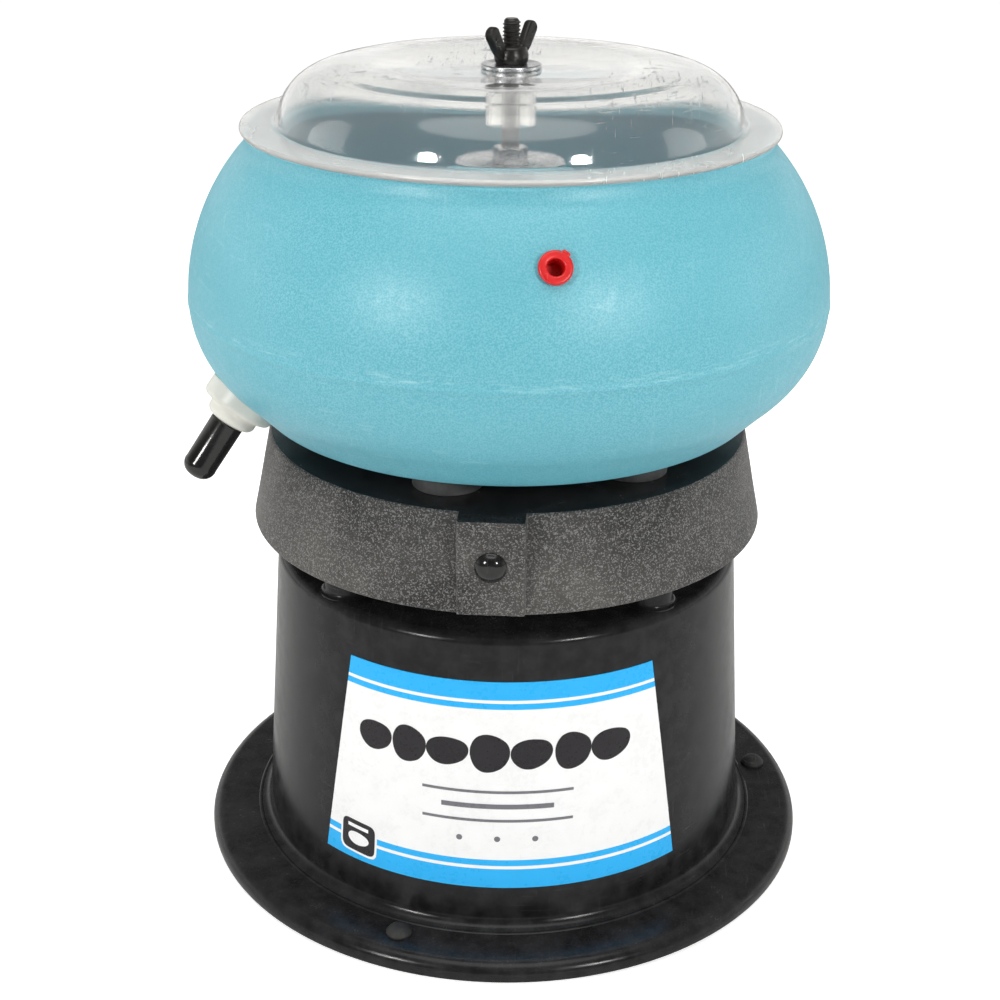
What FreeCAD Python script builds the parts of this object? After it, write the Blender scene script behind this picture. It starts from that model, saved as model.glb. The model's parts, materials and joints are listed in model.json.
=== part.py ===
import FreeCAD, Part
import math
import os

# Vibratory rock tumbler: a ring-shaped bowl on a sprung drive pan, over a hollow
# housing that the motor hangs in.  Millimetres, +Z up, origin on the resting plane
# under the centre stud.  The flat panel of the drive pan faces -Y.  Angles round
# the machine are measured from the front, positive towards +X.

V = FreeCAD.Vector

# ---- driving dimensions -------------------------------------------------------
# housing and feet
flange_radius = 118.0
flange_top = 10.3
lip_bottom = 3.5
shell = 3.0
housing_foot_radius = 94.4
housing_top_radius = 87.2
housing_top = 123.8
housing_opening = 58.0
foot_circle = 105.6
foot_angles = (-17.5, 102.5, 222.5)
foot_hole = 3.05
cord_height = 30.0
cord_hole = 7.0
cord_bore = 3.4

# suspension
post_circle = 76.0
post_angles = (45.0, 135.0, 225.0, 315.0)
post_radius = 8.5
post_bore = 6.6
post_top = 143.0
spring_radius = 6.0
spring_wire = 1.3
spring_turns = 6.5
spring_seat = 154.5

# drive pan
skirt_bottom = 136.4
skirt_top = 170.2
skirt_bottom_radius = 95.1
skirt_top_radius = 88.3
skirt_wall = 2.6
pan_deck = 3.5
pan_deck_low = skirt_top - pan_deck
guide_pin = 4.2
spring_boss = 7.4
panel_width = 22.8
panel_proud = 0.5
panel_plug_height = 154.2
pad_circle = 65.0
pad_radius = 12.3
pad_first_angle = -15.0

# bowl
bowl_wall = 4.0
bowl_seat = 176.6
mouth_radius = 80.0
rim_height = 279.7
post_plate = 265.5
inlet_angle = 10.5
inlet_radius = 105.4
inlet_height = 257.9
inlet_tilt = 28.6
inlet_hole = 3.9
drain_angle = -64.5
drain_radius = 100.4
drain_height = 190.9
drain_tilt = -54.0
drain_neck = 6.5

# centre stud, nuts and washers
stud_radius = 3.175
stud_bottom = 158.0
stud_top = 316.0
nut_flats = 11.1
nut_height = 5.5

# lid
lid_wall = 2.0
lid_flange_radius = 94.0
lid_centre_top = 299.3
lid_sleeve_radius = 8.8
lid_sleeve_bottom = 281.7
wing_angle = -34.0

# motor
core_bottom = 80.0
core_top = 105.0
stator_bore = 19.2
rotor_radius = 18.6
shaft_radius = 3.0
bearing_gap = 0.05
plate_bottom = 114.5
plate_thick = 3.0
bolt_offset = 26.0
standoff_x = 40.0
standoff_y = 24.0
fit_gap = 0.05


# ---- helpers --------------------------------------------------------------------
def around(radius, degrees):
    """X and Y of a point on a circle about the centre stud."""
    angle = math.radians(degrees)
    return radius * math.sin(angle), -radius * math.cos(angle)


def aim(degrees, tilt):
    """Unit vector pointing outwards at an angle round the machine, tilted up."""
    x, y = around(math.cos(math.radians(tilt)), degrees)
    return V(x, y, math.sin(math.radians(tilt)))


def rod(radius, low, high, x=0.0, y=0.0):
    return Part.makeCylinder(radius, high - low, V(x, y, low))


def tube(outer, inner, low, high, x=0.0, y=0.0):
    return rod(outer, low, high, x, y).cut(rod(inner, low - 1, high + 1, x, y))


def cone(low_radius, high_radius, low, high):
    return Part.makeCone(low_radius, high_radius, high - low, V(0, 0, low))


def block(x_low, x_high, y_low, y_high, z_low, z_high):
    size = (x_high - x_low, y_high - y_low, z_high - z_low)
    return Part.makeBox(size[0], size[1], size[2], V(x_low, y_low, z_low))


def path(start, *steps):
    """Edges through (radius, height) points: a step is a point, or (via, end) of an arc."""
    here = V(start[0], 0, start[1])
    edges = []
    for step in steps:
        if isinstance(step[0], tuple):
            via = V(step[0][0], 0, step[0][1])
            there = V(step[1][0], 0, step[1][1])
            edges.append(Part.Arc(here, via, there).toShape())
        else:
            there = V(step[0], 0, step[1])
            edges.append(Part.makeLine(here, there))
        here = there
    return edges


def as_splines(edges):
    """The same edges as splines: a wide arc would spin into a torus that crosses itself."""
    splines = []
    for edge in edges:
        curve = edge.Curve.toBSpline(edge.FirstParameter, edge.LastParameter)
        splines.append(curve.toShape())
    return Part.Wire(Part.sortEdges(splines)[0])


def spun(edges):
    """Solid of revolution about Z from the edges of a closed outline."""
    face = Part.Face(as_splines(edges))
    return Part.Solid(face.revolve(V(0, 0, 0), V(0, 0, 1), 360))


def spun_skin(edges, thickness):
    """Solid of revolution of constant thickness, inwards of an open outline."""
    wall = Part.Wire(edges).makeOffset2D(thickness, 0, True, True)
    return spun(wall.Edges)


def hexagon(flats, low, high, x=0.0, y=0.0):
    reach = flats / math.sqrt(3)
    corners = []
    for corner in range(7):
        angle = math.radians(60 * corner)
        corners.append(V(x + reach * math.cos(angle), y + reach * math.sin(angle), low))
    face = Part.Face(Part.makePolygon(corners))
    return face.extrude(V(0, 0, high - low))


def hex_nut(low, x=0.0, y=0.0, flats=nut_flats, height=nut_height, hole=stud_radius):
    """Hexagon nut with chamfered corners."""
    nut = hexagon(flats, low, low + height, x, y)
    taper = 0.6
    trim = rod(flats / math.sqrt(3) - taper * 0.4, low, low + height, x, y)
    trim = trim.makeChamfer(taper, trim.Edges[:1])
    return nut.common(trim).cut(rod(hole + fit_gap, low - 1, low + height + 1, x, y))


def stand(shape, point, direction):
    """Move a shape built along +Z at the origin to a point, pointing another way."""
    turned = shape.copy()
    turned.Placement = FreeCAD.Placement(point, FreeCAD.Rotation(V(0, 0, 1), direction))
    return Part.makeCompound([turned]).Solids[0]


def join(shapes):
    """Fuse overlapping shapes into one solid."""
    whole = shapes[0].multiFuse(shapes[1:])
    return whole.removeSplitter()


def save(name, *solids):
    shape = solids[0] if len(solids) == 1 else Part.makeCompound(list(solids))
    shape.exportStep("parts/" + name + ".step")


# ---- housing --------------------------------------------------------------------
def base_housing():
    inner_top = housing_top_radius - shell
    inner_foot = housing_foot_radius - shell
    outline = path(
        (flange_radius - 2.8, lip_bottom),
        (flange_radius - 0.6, lip_bottom),
        (flange_radius, lip_bottom + 0.6),
        (flange_radius, 5.5),
        ((flange_radius - 1.4, 8.9), (flange_radius - 4.8, flange_top)),
        (housing_foot_radius + 4.1, flange_top),
        ((housing_foot_radius + 1.2, 11.5), (housing_foot_radius, 14.3)),
        (housing_top_radius, housing_top - 3.6),
        ((housing_top_radius - 1.2, housing_top - 1.0), (housing_top_radius - 3.6, housing_top)),
        (housing_opening, housing_top),
        (housing_opening, housing_top - shell),
        (inner_top - 1.4, housing_top - shell),
        (inner_top, housing_top - 4.4),
        (inner_foot, 11.5),
        (inner_foot + 1.4, flange_top - shell),
        (flange_radius - 4.8, flange_top - shell),
        (flange_radius - 2.8, 5.3),
        (flange_radius - 2.8, lip_bottom),
    )
    housing = spun(outline)
    for angle in post_angles:
        x, y = around(post_circle, angle)
        post = rod(post_radius, housing_top - 1, post_top, x, y)
        housing = housing.fuse(post)
    for angle in post_angles:
        x, y = around(post_circle, angle)
        housing = housing.cut(rod(post_bore, housing_top, post_top + 1, x, y))
    for angle in foot_angles:
        x, y = around(foot_circle, angle)
        housing = housing.cut(rod(foot_hole, 0, 20, x, y))
    cord = Part.makeCylinder(cord_hole, 20, V(0, 82, cord_height), V(0, 1, 0))
    return housing.cut(cord)


def foot(angle):
    """Rubber foot pushed up through the flange, with its retaining head on top."""
    x, y = around(foot_circle, angle)
    sole = Part.makeCone(5.4, 7.4, flange_top - shell, V(x, y, 0))
    stem = rod(foot_hole - fit_gap, flange_top - shell, flange_top, x, y)
    head = Part.makeCone(4.6, 2.6, 3.0, V(x, y, flange_top))
    return join([sole, stem, head])


def front_label():
    """Vinyl label wrapped on the cone, wider at the bottom than at the top."""
    low, high, thick = 26.0, 107.5, 0.3
    slope = (housing_top_radius - housing_foot_radius) / (housing_top - 3.6 - 14.3)
    low_radius = housing_foot_radius + slope * (low - 14.3)
    high_radius = housing_foot_radius + slope * (high - 14.3)
    skin = cone(low_radius + thick, high_radius + thick, low, high)
    skin = skin.cut(cone(low_radius, high_radius, low, high))
    centre, low_half, high_half = 2.0, 43.0, 36.8
    sides = []
    for height, half, radius in ((low, low_half, low_radius), (high, high_half, high_radius)):
        ends = [around(radius * 0.5, centre - half), around(radius * 1.6, centre - half)]
        ends += [around(radius * 1.6, centre + half), around(radius * 0.5, centre + half)]
        sides.append(Part.makePolygon([V(x, y, height) for x, y in ends + ends[:1]]))
    window = Part.makeLoft(sides, True, True)
    return skin.common(window)


def cord_grommet():
    """Rubber bush that the mains lead passes through, in the rear of the housing."""
    def ring(radius, start, end):
        return Part.makeCylinder(radius, end - start, V(0, start, cord_height), V(0, 1, 0))
    bush = join([ring(9.5, 94.2, 96.5), ring(cord_hole - fit_gap, 86.8, 96.5), ring(9.0, 86.8, 88.9)])
    return bush.cut(ring(cord_bore, 80, 100))


# ---- suspension -----------------------------------------------------------------
def spring(angle):
    """Compression spring between its seat in a housing post and a boss under the pan."""
    x, y = around(post_circle, angle)
    coil = spring_radius - spring_wire / 2
    height = spring_seat - housing_top - spring_wire
    pitch = height / spring_turns
    helix = Part.makeHelix(pitch, height, coil)
    section = Part.Wire(Part.makeCircle(spring_wire / 2, V(coil, 0, 0), V(0, coil, pitch / (2 * math.pi))))
    wire = Part.Wire(helix.Edges).makePipeShell([section], True, True)
    wire.translate(V(x, y, housing_top + spring_wire / 2))
    return Part.Solid(wire)


# ---- drive pan ------------------------------------------------------------------
def drive_pan():
    front = -skirt_bottom_radius - panel_proud
    half = panel_width / 2
    wall = skirt_wall
    outer = cone(skirt_bottom_radius, skirt_top_radius, skirt_bottom, skirt_top)
    panel = block(-half, half, front, front + 25, skirt_bottom, skirt_top)
    outer = outer.fuse(panel)
    slope = (skirt_top_radius - skirt_bottom_radius) / (skirt_top - skirt_bottom)
    inner_top = skirt_bottom_radius + slope * (pan_deck_low - skirt_bottom) - wall
    hollow = cone(skirt_bottom_radius - wall, inner_top, skirt_bottom, pan_deck_low)
    recess = block(-half + wall, half - wall, front + wall, front + 25, skirt_bottom, pan_deck_low)
    pan = outer.cut(hollow.fuse(recess))
    for angle in post_angles:
        x, y = around(post_circle, angle)
        pan = pan.fuse(rod(spring_boss, spring_seat, pan_deck_low + 1, x, y))
        pan = pan.fuse(rod(guide_pin, spring_seat - 8.5, spring_seat + 1, x, y))
    pan = pan.cut(rod(stud_radius + fit_gap, 100, 200))
    for x, y in standoff_places():
        pan = pan.cut(rod(2.1, 100, 200, x, y))
    plug_hole = Part.makeCylinder(2.5, 10, V(0, front - 2, panel_plug_height), V(0, 1, 0))
    return pan.cut(plug_hole).removeSplitter()


def standoff_places():
    places = []
    for side in (-1, 1):
        for end in (-1, 1):
            places.append((side * standoff_x, end * standoff_y))
    return places


def panel_plug():
    """Domed plug that closes the hole in the pan's front panel."""
    radius, rise = 5.4, 3.0
    ball = (radius ** 2 + rise ** 2) / (2 * rise)
    half_angle = math.asin(radius / ball) / 2
    via = (ball * math.sin(half_angle), rise - ball + ball * math.cos(half_angle))
    dome = spun(path((0, 0), (radius, 0), (via, (0, rise)), (0, 0)))
    stem = rod(2.5 - fit_gap, -5, 0.5)
    spot = V(0, -skirt_bottom_radius - panel_proud, panel_plug_height)
    return stand(join([dome, stem]), spot, V(0, -1, 0))


def bowl_pads():
    """Rubber pads on the pan's deck that carry the bowl."""
    pads = []
    for number in range(6):
        x, y = around(pad_circle, pad_first_angle + 60 * number)
        pad = rod(pad_radius, skirt_top, bowl_seat, x, y)
        pads.append(pad.makeFillet(1.2, [edge_at(pad, bowl_seat)]))
    return pads


def edge_at(shape, height):
    """The closed edge that lies level at a height."""
    for edge in shape.Edges:
        box = edge.BoundBox
        if abs(box.ZMin - height) < 1e-6 and abs(box.ZMax - height) < 1e-6:
            return edge


# ---- bowl -----------------------------------------------------------------------
def bowl_outline():
    """Outer skin of the bowl's half section, from the mouth to the stud's hole."""
    top = post_plate - bowl_wall
    return path(
        (mouth_radius, rim_height),
        (89.6, rim_height),
        ((91.5, rim_height - 0.8), (92.3, rim_height - 2.6)),
        (93.0, 274.4),
        ((108.1, 251.7), (114.7, 221.6)),
        ((110.6, 204.1), (100.5, 191.0)),
        (91.4, 181.9),
        ((89.8, 180.8), (87.9, 180.2)),
        (78.6, bowl_seat),
        (40.0, bowl_seat),
        ((35.4, bowl_seat + 1.8), (33.0, bowl_seat + 6.0)),
        (18.5, top - 4),
        ((17.3, top - 1.2), (14.5, top)),
        (stud_radius + fit_gap, top),
    )


def bowl_filled():
    """The space inside the bowl's outer skin, used to seat the fittings on it."""
    outline = bowl_outline()
    last = outline[-1].Vertexes[-1].Point
    close = [Part.makeLine(last, V(last.x, 0, rim_height)),
             Part.makeLine(V(last.x, 0, rim_height), V(mouth_radius, 0, rim_height))]
    return spun(outline + close)


def bowl():
    whole = spun_skin(bowl_outline(), -bowl_wall)
    seam = spun(path((112.0, 220.9), (114.95, 221.2), (114.95, 222.0), (112.0, 222.3), (112.0, 220.9)))
    whole = whole.fuse(seam).removeSplitter()
    inlet = stand(rod(inlet_hole, -20, 20), inlet_point(), aim(inlet_angle, inlet_tilt))
    drain = stand(rod(drain_neck, -20, 20), drain_point(), aim(drain_angle, drain_tilt))
    return whole.cut(inlet).cut(drain)


def inlet_point():
    x, y = around(inlet_radius, inlet_angle)
    return V(x, y, inlet_height)


def drain_point():
    x, y = around(drain_radius, drain_angle)
    return V(x, y, drain_height)


def inlet_plug():
    """Soft cup-shaped plug in the filling hole, with a small pull tab."""
    shell_cup = spun(path(
        (0, -7.0),
        (inlet_hole - 0.3, -7.0),
        (inlet_hole - 0.08, -6.4),
        (inlet_hole - 0.08, 0.35),
        (5.0, 0.35),
        ((5.35, 1.1), (4.6, 2.0)),
        (3.3, 2.0),
        ((2.85, 1.8), (2.7, 1.3)),
        (2.7, -5.4),
        (0, -5.4),
        (0, -7.0),
    ))
    tab = block(4.0, 6.1, -1.4, 1.4, 0.5, 2.0)
    tab = tab.makeFillet(0.6, tab.Edges)
    tab.rotate(V(0, 0, 0), V(0, 0, 1), 62)
    return stand(join([shell_cup, tab]), inlet_point(), aim(inlet_angle, inlet_tilt))


def drain_fitting():
    """White through-wall drain fitting: stepped flange, neck and spigot, bored through."""
    body = spun(path(
        (0, -16.0),
        (drain_neck - fit_gap, -16.0),
        (drain_neck - fit_gap, 0.0),
        (12.6, -6.0),
        (13.0, 2.2),
        ((12.6, 3.6), (10.6, 4.2)),
        ((9.4, 4.8), (9.0, 6.2)),
        ((8.4, 8.6), (6.6, 9.4)),
        (4.6, 9.4),
        (4.6, 26.0),
        (4.2, 26.6),
        (0, 26.6),
        (0, -16.0),
    ))
    body = body.cut(rod(2.6, -20, 30))
    placed = stand(body, drain_point(), aim(drain_angle, drain_tilt))
    neck = stand(rod(drain_neck - fit_gap, -16, 0).cut(rod(2.6, -20, 2)), drain_point(),
                 aim(drain_angle, drain_tilt))
    return placed.cut(bowl_filled()).fuse(neck).removeSplitter()


def drain_nut():
    """White hexagon nut that holds the drain fitting from inside the bowl."""
    nut = hexagon(19.0, -14.0, -8.5).cut(rod(drain_neck, -20, 0))
    return stand(nut, drain_point(), aim(drain_angle, drain_tilt))


def drain_washer():
    """Soft sealing ring between the bowl's inner wall and the drain nut."""
    ring = tube(9.5, drain_neck, -8.5, -1.0)
    placed = stand(ring, drain_point(), aim(drain_angle, drain_tilt))
    skin = spun_skin(bowl_outline(), -bowl_wall)
    pieces = placed.cut(skin).Solids
    outward = aim(drain_angle, drain_tilt)
    return min(pieces, key=lambda piece: piece.CenterOfMass.dot(outward))


def drain_cap():
    """Black vinyl cap pushed over the drain's spigot."""
    outline = path(
        (4.65, 9.6),
        (5.9, 9.6),
        (5.75, 27.5),
        ((4.9, 30.6), (1.8, 32.0)),
        (0, 32.0),
        (0, 26.9),
        (4.65, 26.9),
        (4.65, 9.6),
    )
    return stand(spun(outline), drain_point(), aim(drain_angle, drain_tilt))


# ---- stud, nuts and washers -----------------------------------------------------
def centre_stud():
    stud = rod(stud_radius, stud_bottom, stud_top)
    ends = [edge_at(stud, stud_bottom), edge_at(stud, stud_top)]
    return stud.makeChamfer(0.6, ends)


def washer(radius, thickness, low, hole):
    ring = tube(radius, hole, low, low + thickness)
    rim = [edge for edge in ring.Edges if edge.BoundBox.XMax > radius - 1e-3 and edge.BoundBox.ZLength < 1e-6]
    return ring.makeFillet(0.3, rim)


# ---- lid ------------------------------------------------------------------------
def lid():
    """Clear domed lid with a flat flange, slightly sunk round the stud."""
    outline = path(
        (lid_flange_radius, 281.8),
        (83.4, 281.8),
        ((82.0, 282.3), (81.3, 283.7)),
        (80.7, 285.8),
        ((75.6, 294.4), (64.3, 300.2)),
        ((57.8, 301.6), (50.7, 302.1)),
        (42.0, 301.5),
        (10.5, lid_centre_top),
        (3.5, lid_centre_top),
    )
    return spun_skin(outline, lid_wall)


def wing_nut():
    hub_low = lid_centre_top + 1.6
    hub = spun(path(
        (0, hub_low),
        (5.5, hub_low),
        ((6.0, hub_low + 2.4), (5.5, hub_low + 4.6)),
        ((5.0, hub_low + 5.6), (4.4, hub_low + 6.0)),
        (0, hub_low + 6.0),
        (0, hub_low),
    ))
    thick = 3.0
    wings = []
    for side in (1, -1):
        edges = path(
            (side * 3.4, hub_low + 0.8),
            (side * 6.4, hub_low + 0.8),
            (side * 13.3, hub_low + 9.9),
            ((side * 12.7, hub_low + 12.6), (side * 10.2, hub_low + 13.4)),
            (side * 8.7, hub_low + 12.7),
            (side * 4.9, hub_low + 6.2),
            (side * 3.4, hub_low + 5.0),
            (side * 3.4, hub_low + 0.8),
        )
        wing = Part.Face(Part.Wire(edges)).extrude(V(0, thick, 0))
        wing.translate(V(0, -thick / 2, 0))
        wings.append(wing)
    nut = join([hub] + wings).cut(rod(stud_radius + fit_gap, 290, 330))
    nut.rotate(V(0, 0, 0), V(0, 0, 1), wing_angle - 90)
    return nut


# ---- motor ----------------------------------------------------------------------
def motor_core():
    """Laminated stator: rotor bore at the stud's axis, coil leg behind it."""
    core = block(-32, 32, -28, 58, core_bottom, core_top)
    core = core.cut(rod(stator_bore, core_bottom - 1, core_top + 1))
    core = core.cut(block(-19.5, 19.5, 26, 44, core_bottom - 1, core_top + 1))
    for side in (-1, 1):
        core = core.cut(rod(2.1, core_bottom - 1, core_top + 1, side * bolt_offset, 0))
    return core


def motor_coil():
    coil = block(-19, 19, 33, 69, 69, 116)
    return coil.cut(block(-20, 20, 44 - fit_gap, 58 + fit_gap, core_bottom - fit_gap, core_top + fit_gap))


def bracket(arm_low, cup_low, cup_high):
    """Stamped bearing bracket: a strap across the stator with a bearing cup."""
    strap = block(-31, 31, -7.5, 7.5, arm_low, arm_low + 2.5)
    part = strap.fuse(rod(9, cup_low, cup_high)).cut(rod(7, cup_low - 1, cup_high + 1))
    for side in (-1, 1):
        part = part.cut(rod(2.1, arm_low - 1, arm_low + 4, side * bolt_offset, 0))
    return part.removeSplitter()


def spacers():
    sleeves = []
    for low, high in ((core_top, 112.0), (73.0, core_bottom)):
        for side in (-1, 1):
            sleeves.append(tube(4.5, 2.1, low, high, side * bolt_offset, 0))
    return sleeves


def motor_bolts():
    bolts = []
    for side in (-1, 1):
        x = side * bolt_offset
        bolts.append(join([rod(3.6, 68.0, 70.5, x, 0), rod(1.95, 70.5, 122.0, x, 0)]))
    return bolts


def motor_plate():
    """Steel plate on the standoffs that the motor's bolts hang from."""
    top = plate_bottom + plate_thick
    plate = block(-48, 48, -30, 30, plate_bottom, top)
    upright = [edge for edge in plate.Edges if edge.BoundBox.ZLength > plate_thick - 1e-6]
    plate = plate.makeFillet(8, upright).cut(rod(11, 100, 130))
    for x, y in standoff_places() + [(-bolt_offset, 0), (bolt_offset, 0)]:
        plate = plate.cut(rod(2.1, 100, 130, x, y))
    return plate


def standoffs():
    low = plate_bottom + plate_thick
    high = pan_deck_low
    return [hexagon(8, low, high, x, y).cut(rod(2.0, low - 1, high + 1, x, y)) for x, y in standoff_places()]


def pan_head_screw(x, y, face, away):
    """Pan-head screw whose head lies on a level face; away is +1 above it, -1 below."""
    head = rod(3.8, min(face, face + away * 2.4), max(face, face + away * 2.4), x, y)
    tip = face - away * 13.0
    return join([head, rod(1.95, min(face, tip), max(face, tip), x, y)])


def standoff_screws():
    upper = [pan_head_screw(x, y, skirt_top, 1) for x, y in standoff_places()]
    lower = [pan_head_screw(x, y, plate_bottom, -1) for x, y in standoff_places()]
    return upper + lower


def eccentric_weight():
    """Half-round steel weight whose pull shakes the pan as the shaft turns."""
    disc = rod(28, 48, 62).cut(block(-30, 30, 0, 30, 47, 63))
    weight = join([disc, rod(9, 48, 62)]).cut(rod(shaft_radius + 0.01, 40, 70))
    return weight.cut(Part.makeCylinder(2.0, 12, V(0, 0, 55), V(0, 1, 0)))


def set_screw():
    screw = Part.makeCylinder(1.98, 6, V(0, shaft_radius + 0.02, 55), V(0, 1, 0))
    socket = Part.makeCylinder(1.0, 3, V(0, shaft_radius + 4.1, 55), V(0, 1, 0))
    return screw.cut(socket)


def cooling_fan():
    """Radial fan above the motor plate: a disc, a hub and straight vanes."""
    disc = rod(31, 125, 126.4)
    hub = rod(6.5, 125, 136)
    vanes = []
    for number in range(8):
        vane = block(5, 30.5, -0.6, 0.6, 126, 134)
        vane.rotate(V(0, 0, 0), V(0, 0, 1), 45 * number)
        vanes.append(vane)
    return join([disc, hub] + vanes).cut(rod(shaft_radius + 0.01, 120, 140))


# ---- write every piece ----------------------------------------------------------
def main():
    os.makedirs("parts", exist_ok=True)
    save("base_housing", base_housing())
    for number, angle in enumerate(foot_angles, 1):
        save("foot_%d" % number, foot(angle))
    save("front_label", front_label())
    save("cord_grommet", cord_grommet())
    for number, angle in enumerate(post_angles, 1):
        save("spring_%d" % number, spring(angle))

    save("drive_pan", drive_pan())
    save("panel_plug", panel_plug())
    save("bowl_pads", *bowl_pads())
    save("bowl", bowl())
    save("inlet_plug", inlet_plug())
    save("drain_fitting", drain_fitting())
    save("drain_washer", drain_washer())
    save("drain_nut", drain_nut())
    save("drain_cap", drain_cap())

    save("centre_stud", centre_stud())
    save("stud_lock_nuts", hex_nut(skirt_top), hex_nut(pan_deck_low - nut_height))
    hole = stud_radius + fit_gap
    save("bowl_washer", washer(19.5, 1.8, post_plate, hole))
    save("bowl_nut", hex_nut(post_plate + 1.8))

    save("lid", lid())
    save("lid_sleeve", tube(lid_sleeve_radius, 7.4, lid_sleeve_bottom, lid_centre_top - lid_wall))
    save("lid_washer", washer(10.5, 1.6, lid_centre_top, 3.5))
    save("wing_nut", wing_nut())

    save("motor_core", motor_core())
    save("motor_coil", motor_coil())
    save("upper_bracket", bracket(112.0, 107.0, 118.0))
    save("lower_bracket", bracket(70.5, 67.0, 78.0))
    save("upper_bearing", tube(7 - 0.01, shaft_radius + bearing_gap, 107.5, 117.5))
    save("lower_bearing", tube(7 - 0.01, shaft_radius + bearing_gap, 67.5, 77.5))
    save("bracket_spacers", *spacers())
    save("motor_bolts", *motor_bolts())
    plate_top = plate_bottom + plate_thick
    nuts = [hex_nut(plate_top, side * bolt_offset, 0, 7.0, 3.2, 1.95) for side in (-1, 1)]
    save("motor_bolt_nuts", *nuts)
    save("motor_plate", motor_plate())
    save("plate_standoffs", *standoffs())
    save("standoff_screws", *standoff_screws())

    save("motor_shaft", rod(shaft_radius, 44, 141))
    save("rotor_core", tube(rotor_radius, shaft_radius + 0.01, 80.5, 104.5))
    save("eccentric_weight", eccentric_weight())
    save("weight_set_screw", set_screw())
    save("cooling_fan", cooling_fan())


main()
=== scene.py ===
import json
import math

import bmesh
import bpy
from bpy.props import FloatProperty, FloatVectorProperty, IntProperty, PointerProperty
from mathutils import Matrix, Vector


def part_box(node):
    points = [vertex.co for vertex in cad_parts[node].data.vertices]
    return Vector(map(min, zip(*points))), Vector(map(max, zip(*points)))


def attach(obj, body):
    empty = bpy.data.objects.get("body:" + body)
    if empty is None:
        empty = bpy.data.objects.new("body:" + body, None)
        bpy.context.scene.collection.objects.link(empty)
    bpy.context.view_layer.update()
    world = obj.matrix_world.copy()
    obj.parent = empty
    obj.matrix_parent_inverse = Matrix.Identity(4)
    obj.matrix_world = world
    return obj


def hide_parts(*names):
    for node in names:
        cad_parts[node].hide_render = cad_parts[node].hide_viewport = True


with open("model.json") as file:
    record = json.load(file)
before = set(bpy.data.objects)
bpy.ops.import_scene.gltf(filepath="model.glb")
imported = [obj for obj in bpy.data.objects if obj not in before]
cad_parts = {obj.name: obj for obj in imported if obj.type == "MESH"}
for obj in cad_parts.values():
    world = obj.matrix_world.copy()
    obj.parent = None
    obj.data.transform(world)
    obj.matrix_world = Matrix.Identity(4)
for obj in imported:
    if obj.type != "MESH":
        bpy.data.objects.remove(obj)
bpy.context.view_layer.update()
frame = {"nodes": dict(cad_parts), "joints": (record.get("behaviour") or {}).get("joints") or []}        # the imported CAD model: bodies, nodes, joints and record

# The looks of a vibratory rock tumbler, built round its CAD frame.  The frame is in
# metres; outlines here are in millimetres and MM brings them to metres.  Angles round
# the machine are measured from the front (-Y), positive towards +X.

bl_info = {
    "name": "Vibratory Tumbler",
    "version": (1, 0, 0),
    "blender": (4, 5, 0),
    "location": "View3D > Sidebar > Tumbler",
    "description": "Builds the visible pieces, finishes and studio of a vibratory tumbler",
    "category": "Object",
}

MM = 0.001
ROUND = 160              # steps round a large turned piece
SMALL_ROUND = 48         # steps round a small turned piece
SHARP = math.radians(32)
SPRINGS = ("spring_1", "spring_2", "spring_3", "spring_4")


# ---- places taken from the frame -------------------------------------------------
def low(node):
    """Lowest corner of a CAD node, in millimetres."""
    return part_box(node)[0] / MM


def high(node):
    """Highest corner of a CAD node, in millimetres."""
    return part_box(node)[1] / MM


def middle(node):
    return (low(node) + high(node)) / 2


def around(radius, degrees):
    """A level point on a circle about the centre stud."""
    angle = math.radians(degrees)
    return Vector((radius * math.sin(angle), -radius * math.cos(angle), 0))


def slide_axis(joint):
    """The outward direction of a piece that slides, from its joint."""
    return Vector(next(j["axis"] for j in frame["joints"] if j["name"] == joint))


# ---- properties ------------------------------------------------------------------
def colour(name, description, value):
    return FloatVectorProperty(
        name=name, description=description, subtype="COLOR", size=3,
        min=0.0, max=1.0, default=value)


class TumblerSizes(bpy.types.PropertyGroup):
    bowl_wall: FloatProperty(
        name="Bowl wall", description="Thickness of the moulded bowl",
        default=0.004, min=0.002, max=0.008, unit="LENGTH")
    lid_wall: FloatProperty(
        name="Lid sheet", description="Thickness of the clear lid",
        default=0.002, min=0.001, max=0.004, unit="LENGTH")
    thread_pitch: FloatProperty(
        name="Thread pitch", description="Rise of the stud's thread in one turn",
        default=0.00127, min=0.0005, max=0.003, unit="LENGTH")
    coil_turns: IntProperty(
        name="Winding rows", description="Rows of wire that show on the motor's coil",
        default=26, min=4, max=60)
    camera_azimuth: FloatProperty(
        name="Camera azimuth", description="Where the camera stands, from the front",
        default=math.radians(3.0), subtype="ANGLE")
    camera_distance: FloatProperty(
        name="Camera distance", description="Level distance from the stud to the camera",
        default=0.606, min=0.3, max=3.0, unit="LENGTH")
    camera_height: FloatProperty(
        name="Camera height", description="Height of the camera above the floor",
        default=0.4005, min=0.0, max=3.0, unit="LENGTH")


class TumblerColours(bpy.types.PropertyGroup):
    bowl: colour("Bowl", "Turquoise of the moulded bowl", (0.128, 0.445, 0.540))
    housing: colour("Housing", "Black of the moulded housing", (0.0085, 0.0085, 0.0095))
    pan: colour("Pan", "Grained black of the drive pan", (0.020, 0.0195, 0.0195))
    plug: colour("Plug", "Red of the filling plug", (0.72, 0.012, 0.014))
    fitting: colour("Fitting", "Off-white of the drain fitting", (0.80, 0.80, 0.74))
    zinc: colour("Zinc", "Bright zinc plate", (0.66, 0.67, 0.69))
    label: colour("Label", "White of the label", (0.86, 0.87, 0.88))
    band: colour("Bands", "Blue of the label's bands", (0.015, 0.43, 0.90))


def sizes():
    return bpy.context.scene.tumbler_sizes


def colours():
    return bpy.context.scene.tumbler_colours


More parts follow.
